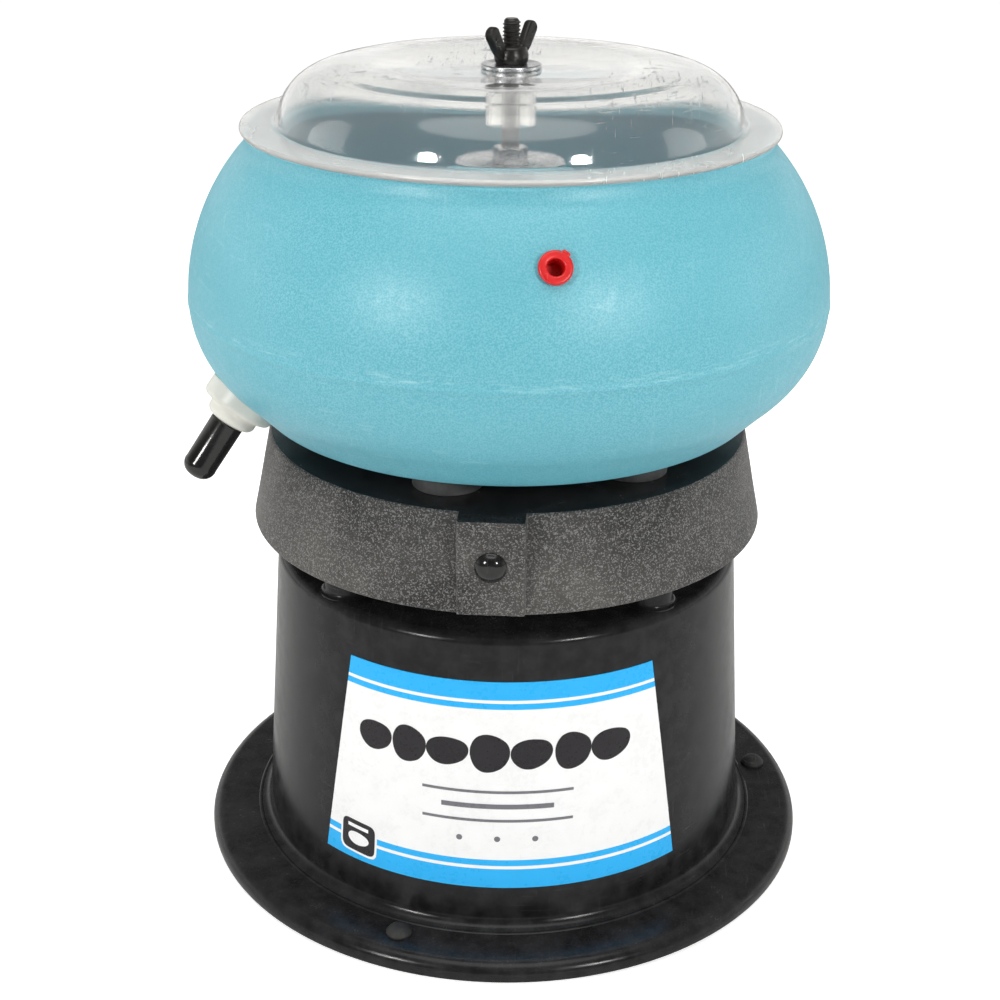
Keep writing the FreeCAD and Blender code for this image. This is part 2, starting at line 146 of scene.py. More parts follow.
# ---- shaping ---------------------------------------------------------------------
def arc(start, via, end, count):
    """Points along the circle through three points, after the first."""
    (x1, y1), (x2, y2), (x3, y3) = start, via, end
    turn = 2 * (x1 * (y2 - y3) + x2 * (y3 - y1) + x3 * (y1 - y2))
    s1, s2, s3 = x1 * x1 + y1 * y1, x2 * x2 + y2 * y2, x3 * x3 + y3 * y3
    cx = (s1 * (y2 - y3) + s2 * (y3 - y1) + s3 * (y1 - y2)) / turn
    cy = (s1 * (x3 - x2) + s2 * (x1 - x3) + s3 * (x2 - x1)) / turn
    radius = math.hypot(x1 - cx, y1 - cy)
    first = math.atan2(y1 - cy, x1 - cx)
    sweep = math.atan2(y3 - cy, x3 - cx) - first
    if (turn > 0) != (sweep > 0):
        sweep += math.copysign(2 * math.pi, turn)
    angles = [first + sweep * step / count for step in range(1, count + 1)]
    return [(cx + radius * math.cos(a), cy + radius * math.sin(a)) for a in angles]


def outline(start, *steps, count=8):
    """Points of an outline: a step is a point, or (via, end) or (via, end, count) of an arc."""
    points = [start]
    for step in steps:
        if isinstance(step[0], tuple):
            number = step[2] if len(step) > 2 else count
            points += arc(points[-1], step[0], step[1], number)
        else:
            points.append(step)
    return points


def inset(points, distance):
    """An open outline moved sideways by a wall's thickness, to its left."""
    moved = []
    for index, (x, y) in enumerate(points):
        before = points[max(index - 1, 0)]
        after = points[min(index + 1, len(points) - 1)]
        along = Vector((after[0] - before[0], after[1] - before[1])).normalized()
        moved.append((x - along.y * distance, y + along.x * distance))
    return moved


def linked(verts, kind):
    """The edges or faces on some vertices, each once and in the same order on every run."""
    return list(dict.fromkeys(part for vert in verts for part in getattr(vert, kind)))


def lathe(bm, points, steps=ROUND, place=None):
    """Turn a closed outline of (radius, height) points about Z, then move it into place."""
    verts = [bm.verts.new((x * MM, 0, z * MM)) for x, z in points]
    edges = [bm.edges.new((a, b)) for a, b in zip(verts, verts[1:] + verts[:1])]
    before = set(bm.verts) - set(verts)
    bmesh.ops.spin(
        bm, geom=verts + edges, cent=(0, 0, 0), axis=(0, 0, 1), angle=2 * math.pi,
        steps=steps, use_merge=True)
    made = [v for v in bm.verts if v not in before]
    bmesh.ops.remove_doubles(bm, verts=made, dist=1e-6)
    made = [v for v in bm.verts if v not in before]
    bmesh.ops.dissolve_degenerate(bm, dist=1e-7, edges=linked(made, "link_edges"))
    made = [v for v in bm.verts if v not in before]
    bmesh.ops.recalc_face_normals(bm, faces=linked(made, "link_faces"))
    if place is not None:
        bmesh.ops.transform(bm, matrix=place, verts=made)
    return made


def stand(point, direction, turn=0.0):
    """The placing of a piece built along +Z: at a point in millimetres, pointing another way."""
    turned = Vector((0, 0, 1)).rotation_difference(Vector(direction)).to_matrix().to_4x4()
    return Matrix.Translation(Vector(point) * MM) @ turned @ Matrix.Rotation(turn, 4, "Z")


def prism(bm, points, thickness, place=None):
    """Extrude a flat outline of (x, z) points both ways along Y."""
    verts = [bm.verts.new((x * MM, -thickness * MM / 2, z * MM)) for x, z in points]
    face = bm.faces.new(verts)
    made = bmesh.ops.extrude_face_region(bm, geom=[face])["geom"]
    moved = [v for v in made if isinstance(v, bmesh.types.BMVert)]
    bmesh.ops.translate(bm, verts=moved, vec=(0, thickness * MM, 0))
    every = verts + moved
    bmesh.ops.recalc_face_normals(bm, faces=linked(every, "link_faces"))
    if place is not None:
        bmesh.ops.transform(bm, matrix=place, verts=every)
    return every


def block(bm, corner, opposite, rounded=0.0, segments=3):
    """A box between two corners in millimetres, with its edges rounded."""
    made = bmesh.ops.create_cube(bm, size=1.0)["verts"]
    size = [abs(b - a) * MM for a, b in zip(corner, opposite)]
    centre = [(a + b) / 2 * MM for a, b in zip(corner, opposite)]
    bmesh.ops.scale(bm, vec=size, verts=made)
    bmesh.ops.translate(bm, vec=centre, verts=made)
    if rounded:
        edges = linked(made, "link_edges")
        result = bmesh.ops.bevel(
            bm, geom=edges, offset=rounded * MM, offset_type="OFFSET", affect="EDGES",
            segments=segments, profile=0.5, material=-1)
        made = result["verts"]
    return made


def soften(bm, verts, offset, segments=3, angle=0.5):
    """Round the sharp edges among some vertices."""
    chosen = set(verts)
    edges = [e for e in linked(verts, "link_edges")
             if e.verts[0] in chosen and e.verts[1] in chosen
             and len(e.link_faces) == 2 and e.calc_face_angle() > angle]
    bmesh.ops.bevel(
        bm, geom=edges, offset=offset * MM, offset_type="OFFSET", affect="EDGES",
        segments=segments, profile=0.5, material=-1, clamp_overlap=True)


def finish(bm, name, body, slot_name, *materials, replaces=()):
    """Make a piece of a bmesh: smooth but for its sharp edges, riding on a CAD body."""
    for face in bm.faces:
        face.smooth = True
    for edge in bm.edges:
        edge.smooth = len(edge.link_faces) != 2 or edge.calc_face_angle() < SHARP
    mesh = bpy.data.meshes.new(name)
    bm.to_mesh(mesh)
    bm.free()
    piece = bpy.data.objects.new(name, mesh)
    bpy.context.scene.collection.objects.link(piece)
    for material in materials:
        mesh.materials.append(material)
    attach(piece, body)
    if replaces:
        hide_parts(*replaces)
    return piece


def carve(piece, build, operation="DIFFERENCE"):
    """Cut a piece with, or join it to, the solid that build puts in a bmesh."""
    bm = bmesh.new()
    build(bm)
    mesh = bpy.data.meshes.new("tool")
    bm.to_mesh(mesh)
    bm.free()
    tool = bpy.data.objects.new("tool", mesh)
    bpy.context.scene.collection.objects.link(tool)
    modifier = piece.modifiers.new("carve", "BOOLEAN")
    modifier.operation = operation
    modifier.solver = "EXACT"
    modifier.object = tool
    bpy.context.view_layer.update()
    graph = bpy.context.evaluated_depsgraph_get()
    carved = bpy.data.meshes.new_from_object(piece.evaluated_get(graph))
    piece.modifiers.clear()
    old = piece.data
    name = old.name
    piece.data = carved
    bpy.data.meshes.remove(old)
    bpy.data.objects.remove(tool)
    bpy.data.meshes.remove(mesh)
    carved.name = name
    again = bmesh.new()
    again.from_mesh(carved)
    bmesh.ops.remove_doubles(again, verts=again.verts, dist=2e-6)
    bmesh.ops.dissolve_degenerate(again, edges=again.edges, dist=1e-6)
    for face in again.faces:
        face.smooth = True
    for edge in again.edges:
        edge.smooth = len(edge.link_faces) != 2 or edge.calc_face_angle() < SHARP
    again.to_mesh(carved)
    again.free()


def coat(node, material):
    """Give a CAD node a finish; its mesh stays as it is."""
    data = frame["nodes"][node].data
    data.materials.clear()
    data.materials.append(material)


# ---- shader building blocks ------------------------------------------------------
class Tree:
    """Adds nodes to a node tree: a value that is a socket is linked, any other is set."""

    def __init__(self, tree):
        self.tree = tree

    def add(self, kind, values=None, **settings):
        node = self.tree.nodes.new(kind)
        for key, value in settings.items():
            setattr(node, key, value)
        for key, value in (values or {}).items():
            if isinstance(value, bpy.types.NodeSocket):
                self.tree.links.new(value, node.inputs[key])
            else:
                node.inputs[key].default_value = value
        return node

    def math(self, operation, a, b=0.0, clamp=False):
        return self.add("ShaderNodeMath", {0: a, 1: b}, operation=operation, use_clamp=clamp).outputs[0]

    def fit(self, value, start, end, new_start=0.0, new_end=1.0):
        """Bring a value from one range to another, held at the ends."""
        node = self.add("ShaderNodeMapRange", {
            "Value": value, "From Min": start, "From Max": end, "To Min": new_start, "To Max": new_end})
        return node.outputs["Result"]

    def mix(self, factor, a, b, blend_type="MIX"):
        node = self.add("ShaderNodeMix", {"Factor": factor}, data_type="RGBA", blend_type=blend_type)
        for key, value in ((6, a), (7, b)):
            if isinstance(value, bpy.types.NodeSocket):
                self.tree.links.new(value, node.inputs[key])
            else:
                node.inputs[key].default_value = (*value, 1.0) if len(value) == 3 else value
        return node.outputs[2]

    def noise(self, vector, scale, detail=2.0, roughness=0.5):
        node = self.add("ShaderNodeTexNoise", {
            "Vector": vector, "Scale": scale, "Detail": detail, "Roughness": roughness})
        return node.outputs["Fac"]

    def stretched(self, vector, scale, turn=(0.0, 0.0, 0.0)):
        node = self.add("ShaderNodeMapping", {"Vector": vector, "Scale": scale, "Rotation": turn})
        return node.outputs["Vector"]


def shader_group(name, inputs, outputs, build):
    """A node group made once: inputs are (name, type, default), outputs (name, type)."""
    if name in bpy.data.node_groups:
        return bpy.data.node_groups[name]
    group = bpy.data.node_groups.new(name, "ShaderNodeTree")
    for label, kind, default in inputs:
        socket = group.interface.new_socket(name=label, in_out="INPUT", socket_type=kind)
        if default is not None:
            socket.default_value = default
    for label, kind in outputs:
        group.interface.new_socket(name=label, in_out="OUTPUT", socket_type=kind)
    tree = Tree(group)
    entry = group.nodes.new("NodeGroupInput")
    leave = group.nodes.new("NodeGroupOutput")
    for label, socket in build(tree, entry.outputs).items():
        group.links.new(socket, leave.inputs[label])
    return group


def grain_group():
    """Moulded surface grain: a height for bump and a softer value for roughness."""
    def build(tree, given):
        fine = tree.noise(given["Vector"], given["Scale"], 2.0, 0.6)
        wide = tree.noise(given["Vector"], tree.math("MULTIPLY", given["Scale"], 0.21), 3.0, 0.55)
        height = tree.math("ADD", tree.math("MULTIPLY", fine, 0.6), tree.math("MULTIPLY", wide, 0.4))
        return {"Height": height, "Wide": wide}
    return shader_group(
        "moulded_grain",
        (("Vector", "NodeSocketVector", None), ("Scale", "NodeSocketFloat", 900.0)),
        (("Height", "NodeSocketFloat"), ("Wide", "NodeSocketFloat")), build)


def scuff_group():
    """Fine scratches that run two ways, broken into patches."""
    def build(tree, given):
        marks = []
        for turn, stretch in (((0.3, 0.2, 0.5), (1.0, 1.0, 14.0)), ((0.9, 0.4, -0.6), (12.0, 1.0, 1.0))):
            vector = tree.stretched(given["Vector"], stretch, turn)
            lines = tree.noise(vector, given["Scale"], 2.0, 0.6)
            marks.append(tree.fit(lines, 0.63, 0.70))
        both = tree.math("MAXIMUM", marks[0], marks[1])
        patches = tree.noise(given["Vector"], tree.math("MULTIPLY", given["Scale"], 0.2), 2.0, 0.5)
        where = tree.fit(patches, 0.48, 0.66)
        return {"Mask": tree.math("MULTIPLY", tree.math("MULTIPLY", both, where), given["Amount"])}
    return shader_group(
        "scuffs",
        (("Vector", "NodeSocketVector", None), ("Scale", "NodeSocketFloat", 90.0),
         ("Amount", "NodeSocketFloat", 0.5)),
        (("Mask", "NodeSocketFloat"),), build)


def painted_glint_and_tilt_group():
    """Cells of a coarse mould grain: a mask of painted glints, where the cells would catch the light, and a
    tilt for the bump.
    """
    def build(tree, given):
        cells = tree.add("ShaderNodeTexVoronoi", {"Vector": given["Vector"], "Scale": given["Scale"]})
        facet = tree.add("ShaderNodeSeparateColor", {"Color": cells.outputs["Color"]}).outputs["Red"]
        bright = tree.fit(facet, 0.62, 1.0)
        dim = tree.fit(facet, 0.0, 1.0, -0.5, 0.5)
        return {"Mask": tree.math("MULTIPLY", bright, given["Amount"]), "Tilt": dim}
    return shader_group(
        "sparkle",
        (("Vector", "NodeSocketVector", None), ("Scale", "NodeSocketFloat", 2600.0),
         ("Amount", "NodeSocketFloat", 0.5)),
        (("Mask", "NodeSocketFloat"), ("Tilt", "NodeSocketFloat")), build)


def dust_group():
    """Dust that settles on faces turned upwards, in uneven patches."""
    def build(tree, given):
        facing = tree.add("ShaderNodeNewGeometry").outputs["Normal"]
        rise = tree.add("ShaderNodeSeparateXYZ", {"Vector": facing}).outputs["Z"]
        level = tree.fit(rise, 0.2, 1.0)
        cloud = tree.fit(tree.noise(given["Vector"], 38.0, 5.0, 0.62), 0.35, 0.75)
        specks = tree.fit(tree.noise(given["Vector"], 1400.0, 1.0, 0.5), 0.56, 0.66)
        dust = tree.math("MULTIPLY", level, tree.math("ADD", tree.math("MULTIPLY", cloud, 0.7),
                                                      tree.math("MULTIPLY", specks, 0.6)))
        return {"Mask": tree.math("MULTIPLY", dust, given["Amount"], clamp=True)}
    return shader_group(
        "settled_dust",
        (("Vector", "NodeSocketVector", None), ("Amount", "NodeSocketFloat", 0.2)),
        (("Mask", "NodeSocketFloat"),), build)


def wear_group():
    """Paler wear on convex edges, from how the rounded normal differs from the true one."""
    def build(tree, given):
        true = tree.add("ShaderNodeNewGeometry").outputs["Normal"]
        rounded = tree.add("ShaderNodeBevel", {"Radius": given["Width"]}, samples=4).outputs["Normal"]
        same = tree.add("ShaderNodeVectorMath", {0: true, 1: rounded}, operation="DOT_PRODUCT").outputs["Value"]
        edge = tree.fit(same, 0.985, 0.90)
        broken = tree.fit(tree.noise(given["Vector"], 260.0, 3.0, 0.6), 0.42, 0.62)
        return {"Mask": tree.math("MULTIPLY", tree.math("MULTIPLY", edge, broken), given["Amount"])}
    return shader_group(
        "edge_wear",
        (("Vector", "NodeSocketVector", None), ("Width", "NodeSocketFloat", 0.0006),
         ("Amount", "NodeSocketFloat", 0.5)),
        (("Mask", "NodeSocketFloat"),), build)


class Finish:
    """A material being built: its tree, its Principled shader and Object coordinates."""

    def __init__(self, name, **plain):
        self.material = bpy.data.materials.new(name)
        self.material.use_nodes = True
        self.tree = Tree(self.material.node_tree)
        nodes = self.material.node_tree.nodes
        self.shader = next(n for n in nodes if n.type == "BSDF_PRINCIPLED")
        self.place = nodes.new("ShaderNodeTexCoord").outputs["Object"]
        for key, value in plain.items():
            self.set(key.replace("_", " ").title().replace("Ior", "IOR"), value)

    def set(self, socket, value):
        if isinstance(value, bpy.types.NodeSocket):
            self.material.node_tree.links.new(value, self.shader.inputs[socket])
        elif socket == "Base Color":
            self.shader.inputs[socket].default_value = (*value, 1.0)
        else:
            self.shader.inputs[socket].default_value = value

    def effect(self, group, **values):
        """Place a shared effect on this material's Object coordinates."""
        node = self.tree.add("ShaderNodeGroup", node_tree=group)
        self.material.node_tree.links.new(self.place, node.inputs["Vector"])
        for key, value in values.items():
            node.inputs[key.title()].default_value = value
        return node.outputs

    def bump(self, height, distance, strength=1.0):
        node = self.tree.add("ShaderNodeBump", {"Height": height, "Distance": distance, "Strength": strength})
        self.set("Normal", node.outputs["Normal"])


def dark_plastic(name, base, roughness, grain_scale, grain_depth, scuff=0.35, dust=0.12, wear=0.4,
                 shine=0.5):
    """Black moulding: faint grain, scuffs, settled dust and paler worn edges."""
    made = Finish(name, specular_ior_level=shine)
    tree = made.tree
    grain = made.effect(grain_group(), scale=grain_scale)
    scuffs = made.effect(scuff_group(), scale=70.0, amount=scuff)["Mask"]
    dusty = made.effect(dust_group(), amount=dust)["Mask"]
    worn = made.effect(wear_group(), width=0.0007, amount=wear)["Mask"]
    lighter = tuple(min(1.0, c * 1.7 + 0.004) for c in base)
    body = tree.mix(tree.fit(grain["Wide"], 0.35, 0.65), base, lighter)
    scuffed = tree.mix(scuffs, body, (0.16, 0.155, 0.15))
    edged = tree.mix(worn, scuffed, (0.09, 0.088, 0.085))
    made.set("Base Color", tree.mix(dusty, edged, (0.30, 0.28, 0.25)))
    smooth = tree.fit(grain["Wide"], 0.3, 0.7, roughness - 0.04, roughness + 0.05)
    rough = tree.math("ADD", smooth, tree.math("MULTIPLY", scuffs, 0.22))
    made.set("Roughness", tree.math("ADD", rough, tree.math("MULTIPLY", dusty, 0.35), clamp=True))
    made.bump(grain["Height"], grain_depth)
    return made.material


def bright_metal(name, base, roughness=0.24, stretch=(1.0, 1.0, 16.0)):
    """Plated or ground metal: fine lines one way, a cloudy tone and dull worn spots."""
    made = Finish(name, metallic=1.0)
    tree = made.tree
    lines = tree.noise(tree.stretched(made.place, stretch), 420.0, 3.0, 0.6)
    cloud = tree.noise(made.place, 160.0, 3.0, 0.55)
    dull = tuple(c * 0.62 for c in base)
    made.set("Base Color", tree.mix(tree.fit(cloud, 0.3, 0.75), base, dull))
    made.set("Roughness", tree.fit(lines, 0.25, 0.75, roughness - 0.08, roughness + 0.14))
    made.bump(lines, 0.00004, 0.5)
    return made.material


def soft_plastic(name, base, roughness, deeper=0.75, grain=900.0, depth=0.00002):
    """Soft coloured vinyl, nylon or rubber with a cloudy tone and faint marks."""
    made = Finish(name)
    tree = made.tree
    field = made.effect(grain_group(), scale=grain)
    scuffs = made.effect(scuff_group(), scale=160.0, amount=0.4)["Mask"]
    dark = tuple(c * deeper for c in base)
    body = tree.mix(tree.fit(field["Wide"], 0.3, 0.7), dark, base)
    pale = tuple(min(1.0, c * 0.6 + 0.22) for c in base)
    made.set("Base Color", tree.mix(scuffs, body, pale))
    made.set("Roughness", tree.fit(field["Wide"], 0.3, 0.7, roughness - 0.05, roughness + 0.08))
    made.bump(field["Height"], depth)
    return made.material


def bowl_plastic():
    """Rotomoulded turquoise: speckled skin, soft mottling and a scuffed parting line."""
    made = Finish("bowl_turquoise", specular_ior_level=0.55)
    tree = made.tree
    base = tuple(colours().bowl)
    grain = made.effect(grain_group(), scale=1500.0)
    deep = tuple(c * f for c, f in zip(base, (0.72, 0.86, 0.88)))
    pale = tuple(min(1.0, c * f) for c, f in zip(base, (1.45, 1.12, 1.10)))
    specks = tree.mix(tree.fit(tree.noise(made.place, 1900.0, 1.0), 0.38, 0.62), deep, pale)
    cloud = tree.fit(tree.noise(made.place, 16.0, 4.0, 0.6), 0.3, 0.7)
    body = tree.mix(tree.math("MULTIPLY", cloud, 0.55), specks, base)
    height = tree.add("ShaderNodeSeparateXYZ", {"Vector": made.place}).outputs["Z"]
    seam = middle("bowl").z * MM - 0.0045
    near = tree.fit(tree.math("ABSOLUTE", tree.math("SUBTRACT", height, seam)), 0.0006, 0.0036, 1.0, 0.0)
    streaks = tree.noise(tree.stretched(made.place, (1.0, 1.0, 9.0)), 75.0, 5.0, 0.7)
    rubbed = tree.math("MULTIPLY", near, tree.fit(streaks, 0.52, 0.68))
    flow = tree.noise(tree.stretched(made.place, (1.0, 1.0, 5.0)), 14.0, 3.0, 0.6)
    scuffs = made.effect(scuff_group(), scale=55.0, amount=0.4)["Mask"]
    marks = tree.math("MAXIMUM", tree.math("MULTIPLY", rubbed, 0.55), tree.math("MULTIPLY", scuffs, 0.6))
    pale_mark = (0.42, 0.72, 0.76)
    shaded = tree.mix(tree.fit(flow, 0.35, 0.7, 0.0, 0.22), body, deep)
    made.set("Base Color", tree.mix(marks, shaded, pale_mark))
    rough = tree.fit(grain["Wide"], 0.3, 0.7, 0.36, 0.48)
    made.set("Roughness", tree.math("ADD", rough, tree.math("MULTIPLY", marks, 0.2), clamp=True))
    relief = tree.math("ADD", tree.math("MULTIPLY", grain["Height"], 0.55),
                       tree.math("MULTIPLY", tree.noise(made.place, 330.0, 2.0), 0.9))
    made.bump(relief, 0.00008, 0.8)
    return made.material


def pan_plastic():
    """Coarsely grained black moulding, with painted glints on its grain and broad patches of painted grey
    sheen.
    """
    made = Finish("pan_grained_black", specular_ior_level=0.35)
    tree = made.tree
    base = tuple(colours().pan)
    grain = made.effect(grain_group(), scale=1500.0)
    sparkle = made.effect(painted_glint_and_tilt_group(), scale=2600.0, amount=0.85)
    dusty = made.effect(dust_group(), amount=0.10)["Mask"]
    worn = made.effect(wear_group(), width=0.0009, amount=0.6)["Mask"]
    # Broad lighter grey patches over the pan: painted sheen.
    painted_sheen = tree.fit(tree.noise(tree.stretched(made.place, (1.0, 1.0, 1.6), (0.3, 0.5, 0.4)), 11.0, 5.0, 0.62),
                   0.40, 0.72)
    streak = tree.fit(tree.noise(tree.stretched(made.place, (6.0, 6.0, 1.0), (0.25, 0.2, 0.0)), 16.0, 3.0, 0.6),
                      0.60, 0.74)
    grey = tree.mix(tree.math("MULTIPLY", painted_sheen, 0.9), base, (0.105, 0.100, 0.092))
    dark = tree.mix(tree.math("MULTIPLY", streak, 0.45), grey, (0.03, 0.029, 0.028))
    # Bright grain cells: painted glints.
    with_painted_glints = tree.mix(sparkle["Mask"], dark, (0.26, 0.255, 0.255))
    edged = tree.mix(worn, with_painted_glints, (0.28, 0.275, 0.26))
    made.set("Base Color", tree.mix(dusty, edged, (0.30, 0.28, 0.25)))
    made.set("Roughness", tree.fit(grain["Height"], 0.3, 0.7, 0.34, 0.56))
    relief = tree.math("ADD", grain["Height"], tree.math("MULTIPLY", sparkle["Tilt"], 0.35))
    made.bump(relief, 0.00014, 0.8)
    return made.material


def clear_sheet(name, clear, blur):
    """Clear thermoformed sheet: hazed by fine wipe marks, a little uneven."""
    made = Finish(name, transmission_weight=clear, ior=1.46, base_color=(0.995, 0.99, 0.975))
    tree = made.tree
    wipe = made.effect(scuff_group(), scale=95.0, amount=0.8)["Mask"]
    haze = tree.fit(tree.noise(made.place, 22.0, 5.0, 0.62), 0.42, 0.75)
    rough = tree.math("ADD", tree.math("MULTIPLY", haze, 0.10), tree.math("MULTIPLY", wipe, 0.28))
    made.set("Roughness", tree.math("ADD", rough, blur, clamp=True))
    ripple = tree.noise(made.place, 30.0, 2.0, 0.5)
    relief = tree.math("ADD", ripple, tree.math("MULTIPLY", wipe, 0.05))
    made.bump(relief, 0.00035, 0.35)
    return made.material


def label_print(name, ink):
    """Printed vinyl: an ink under a smooth film, with faint rubbing."""
    made = Finish(name, coat_weight=0.1, coat_roughness=0.12, specular_ior_level=0.3)
    tree = made.tree
    field = made.effect(grain_group(), scale=500.0)
    scuffs = made.effect(scuff_group(), scale=120.0, amount=0.25)["Mask"]
    paler = tuple(min(1.0, c * 1.03 + 0.004) for c in ink)
    body = tree.mix(tree.fit(field["Wide"], 0.35, 0.65), ink, paler)
    made.set("Base Color", tree.mix(scuffs, body, tuple(min(1.0, c * 0.85 + 0.06) for c in ink)))
    made.set("Roughness", tree.fit(field["Height"], 0.3, 0.7, 0.24, 0.34))
    made.bump(field["Wide"], 0.00003, 0.5)
    return made.material


def laminations():
    """Stacked steel sheets under varnish: level dark lines up the stack."""
    made = Finish("laminated_steel", metallic=0.85)
    tree = made.tree
    wave = tree.add("ShaderNodeTexWave", {"Vector": made.place, "Scale": 320.0, "Distortion": 0.4},
                    bands_direction="Z").outputs["Fac"]
    cloud = tree.noise(made.place, 90.0, 3.0)
    sheet = tree.mix(tree.fit(cloud, 0.3, 0.7), (0.20, 0.19, 0.18), (0.32, 0.30, 0.28))
    made.set("Base Color", tree.mix(tree.fit(wave, 0.55, 0.9), sheet, (0.05, 0.045, 0.04)))
    made.set("Roughness", tree.fit(cloud, 0.3, 0.7, 0.32, 0.5))
    made.bump(wave, 0.00012, 0.7)
    return made.material


FINISHES = {
    "housing": lambda: dark_plastic("housing_black", tuple(colours().housing), 0.22, 700.0, 0.00002,
                                    0.08, 0.04, 0.15, 0.22),
    "pan": pan_plastic,
    "bowl": bowl_plastic,
    "clear": lambda: clear_sheet("clear_sheet", 0.955, 0.03),
    "hazed": lambda: clear_sheet("hazed_sheet", 0.72, 0.16),
    "gloss_black": lambda: dark_plastic("gloss_black", (0.006, 0.006, 0.006), 0.12, 500.0, 0.00002,
                                        0.10, 0.03, 0.1),
    "vinyl_black": lambda: dark_plastic("dipped_vinyl", (0.007, 0.007, 0.007), 0.16, 260.0, 0.00006,
                                        0.08, 0.02, 0.05),
    "rubber": lambda: soft_plastic("black_rubber", (0.022, 0.022, 0.022), 0.62, 0.6, 1200.0, 0.00008),
    "pad": lambda: soft_plastic("grey_rubber", (0.085, 0.085, 0.088), 0.6, 0.6, 1500.0, 0.0001),
    "red": lambda: soft_plastic("red_vinyl", tuple(colours().plug), 0.3, 0.72),
    "white": lambda: soft_plastic("white_nylon", tuple(colours().fitting), 0.36, 0.86, 500.0, 0.00005),
    "seal": lambda: soft_plastic("pale_seal", (0.55, 0.52, 0.44), 0.5),
    "zinc": lambda: bright_metal("zinc_plate", tuple(colours().zinc)),
    "rod": lambda: bright_metal("plated_rod", (0.42, 0.42, 0.43), 0.3, (1.0, 1.0, 9.0)),
    "black_steel": lambda: dark_plastic("black_steel", (0.007, 0.0065, 0.006), 0.30, 900.0, 0.00006,
                                        0.25, 0.01, 0.3, 0.4),
    "label_white": lambda: label_print("label_white", tuple(colours().label)),
    "label_blue": lambda: label_print("label_blue", tuple(colours().band)),
    "label_ink": lambda: label_print("label_ink", (0.012, 0.010, 0.013)),
    "label_grey": lambda: label_print("label_grey", (0.16, 0.16, 0.18)),
    "laminations": laminations,
    "copper": lambda: bright_metal("enamelled_copper", (0.62, 0.22, 0.07), 0.3, (9.0, 1.0, 1.0)),
    "tape": lambda: soft_plastic("winding_tape", (0.62, 0.50, 0.20), 0.4, 0.7),
    "bronze": lambda: bright_metal("sintered_bronze", (0.55, 0.40, 0.18), 0.4),
    "steel": lambda: bright_metal("ground_steel", (0.50, 0.50, 0.51), 0.26, (1.0, 1.0, 1.0)),
    "aluminium": lambda: bright_metal("stamped_aluminium", (0.78, 0.78, 0.79), 0.3, (14.0, 1.0, 1.0)),
}
made_finishes = {}


def finish_of(name):
    """A named finish, built the first time that it is asked for."""
    if name not in made_finishes:
        made_finishes[name] = FINISHES[name]()
    return made_finishes[name]


# ---- outlines --------------------------------------------------------------------
HOUSING_FOOT = (94.4, 14.3)
HOUSING_SHOULDER = (87.2, 120.2)


def housing_radius(height):
    """Radius of the housing's cone at a height."""
    share = (height - HOUSING_FOOT[1]) / (HOUSING_SHOULDER[1] - HOUSING_FOOT[1])
    return HOUSING_FOOT[0] + share * (HOUSING_SHOULDER[0] - HOUSING_FOOT[0])


def housing_outline():
    corner, opposite = low("base_housing"), high("base_housing")
    edge = min(-corner.x, -corner.y, opposite.x, opposite.y) - 0.005
    shell = 3.0
    foot, foot_height = HOUSING_FOOT
    shoulder, shoulder_height = HOUSING_SHOULDER
    top = shoulder_height + 3.6
    flange = 10.3
    return outline(
        (edge - 2.8, 3.5),
        (edge - 0.7, 3.5),
        ((edge - 0.2, 3.7), (edge, 4.2), 3),
        (edge, 5.5),
        ((edge - 1.4, 8.9), (edge - 4.8, flange), 9),
        (foot + 5.2, flange),
        ((foot + 4.5, flange + 0.35), (foot + 3.8, flange + 0.1), 4),
        ((foot + 1.1, 11.7), (foot, foot_height), 7),
        *[(housing_radius(h), h) for h in (40.0, 66.0, 92.0)],
        (shoulder, shoulder_height),
        ((shoulder - 1.1, top - 1.1), (shoulder - 3.6, top), 8),
        (60.0, top),
        ((58.6, top - 0.4), (58.0, top - 1.5), 4),
        (58.0, top - shell),
        (shoulder - shell - 1.4, top - shell),
        (shoulder - shell, top - 4.4),
        (foot - shell, 11.5),
        (foot - shell + 1.4, flange - shell),
        (edge - 4.8, flange - shell),
        (edge - 2.8, 5.3),
    )


def bowl_skin():
    """Outer skin of the bowl from its mouth to the stud's hole."""
    rim = high("bowl").z
    seat = low("bowl").z
    seam = 221.6
    return outline(
        (80.0, rim),
        (89.6, rim),
        ((91.5, rim - 0.8), (92.3, rim - 2.6), 5),
        (93.0, rim - 5.3),
        ((108.1, 251.7), (114.6, seam + 0.9), 26),
        (114.85, seam + 0.35),
        (114.85, seam - 0.35),
        (114.6, seam - 0.9),
        ((110.6, 204.1), (100.5, 191.0), 16),
        (96.0, 186.5),
        (91.4, 181.9),
        ((89.8, 180.8), (87.9, 180.2), 4),
        (78.6, seat),
        (40.0, seat),
        ((35.4, seat + 1.8), (33.0, seat + 6.0), 5),
        (18.5, 257.5),
        ((17.3, 260.3), (14.5, 261.5), 5),
        (3.3, 261.5),
    )


def lid_skin():
    flange = high("lid").x
    return outline(
        (flange - 0.5, 281.8),
        (83.8, 281.8),
        ((82.2, 282.2), (81.35, 283.7), 5),
        (80.7, 285.8),
        ((75.6, 294.4), (64.3, 300.2), 14),
        ((57.8, 301.6), (50.7, 302.1), 6),
        ((46.0, 302.0), (42.0, 301.5), 4),
        (24.0, 300.25),
        (10.5, 299.3),
        (3.5, 299.3),
    )


def skin_to_wall(points, thickness):
    """Close an open skin into a wall of that thickness, on the skin's right side."""
    return points + inset(points, -thickness)[::-1]


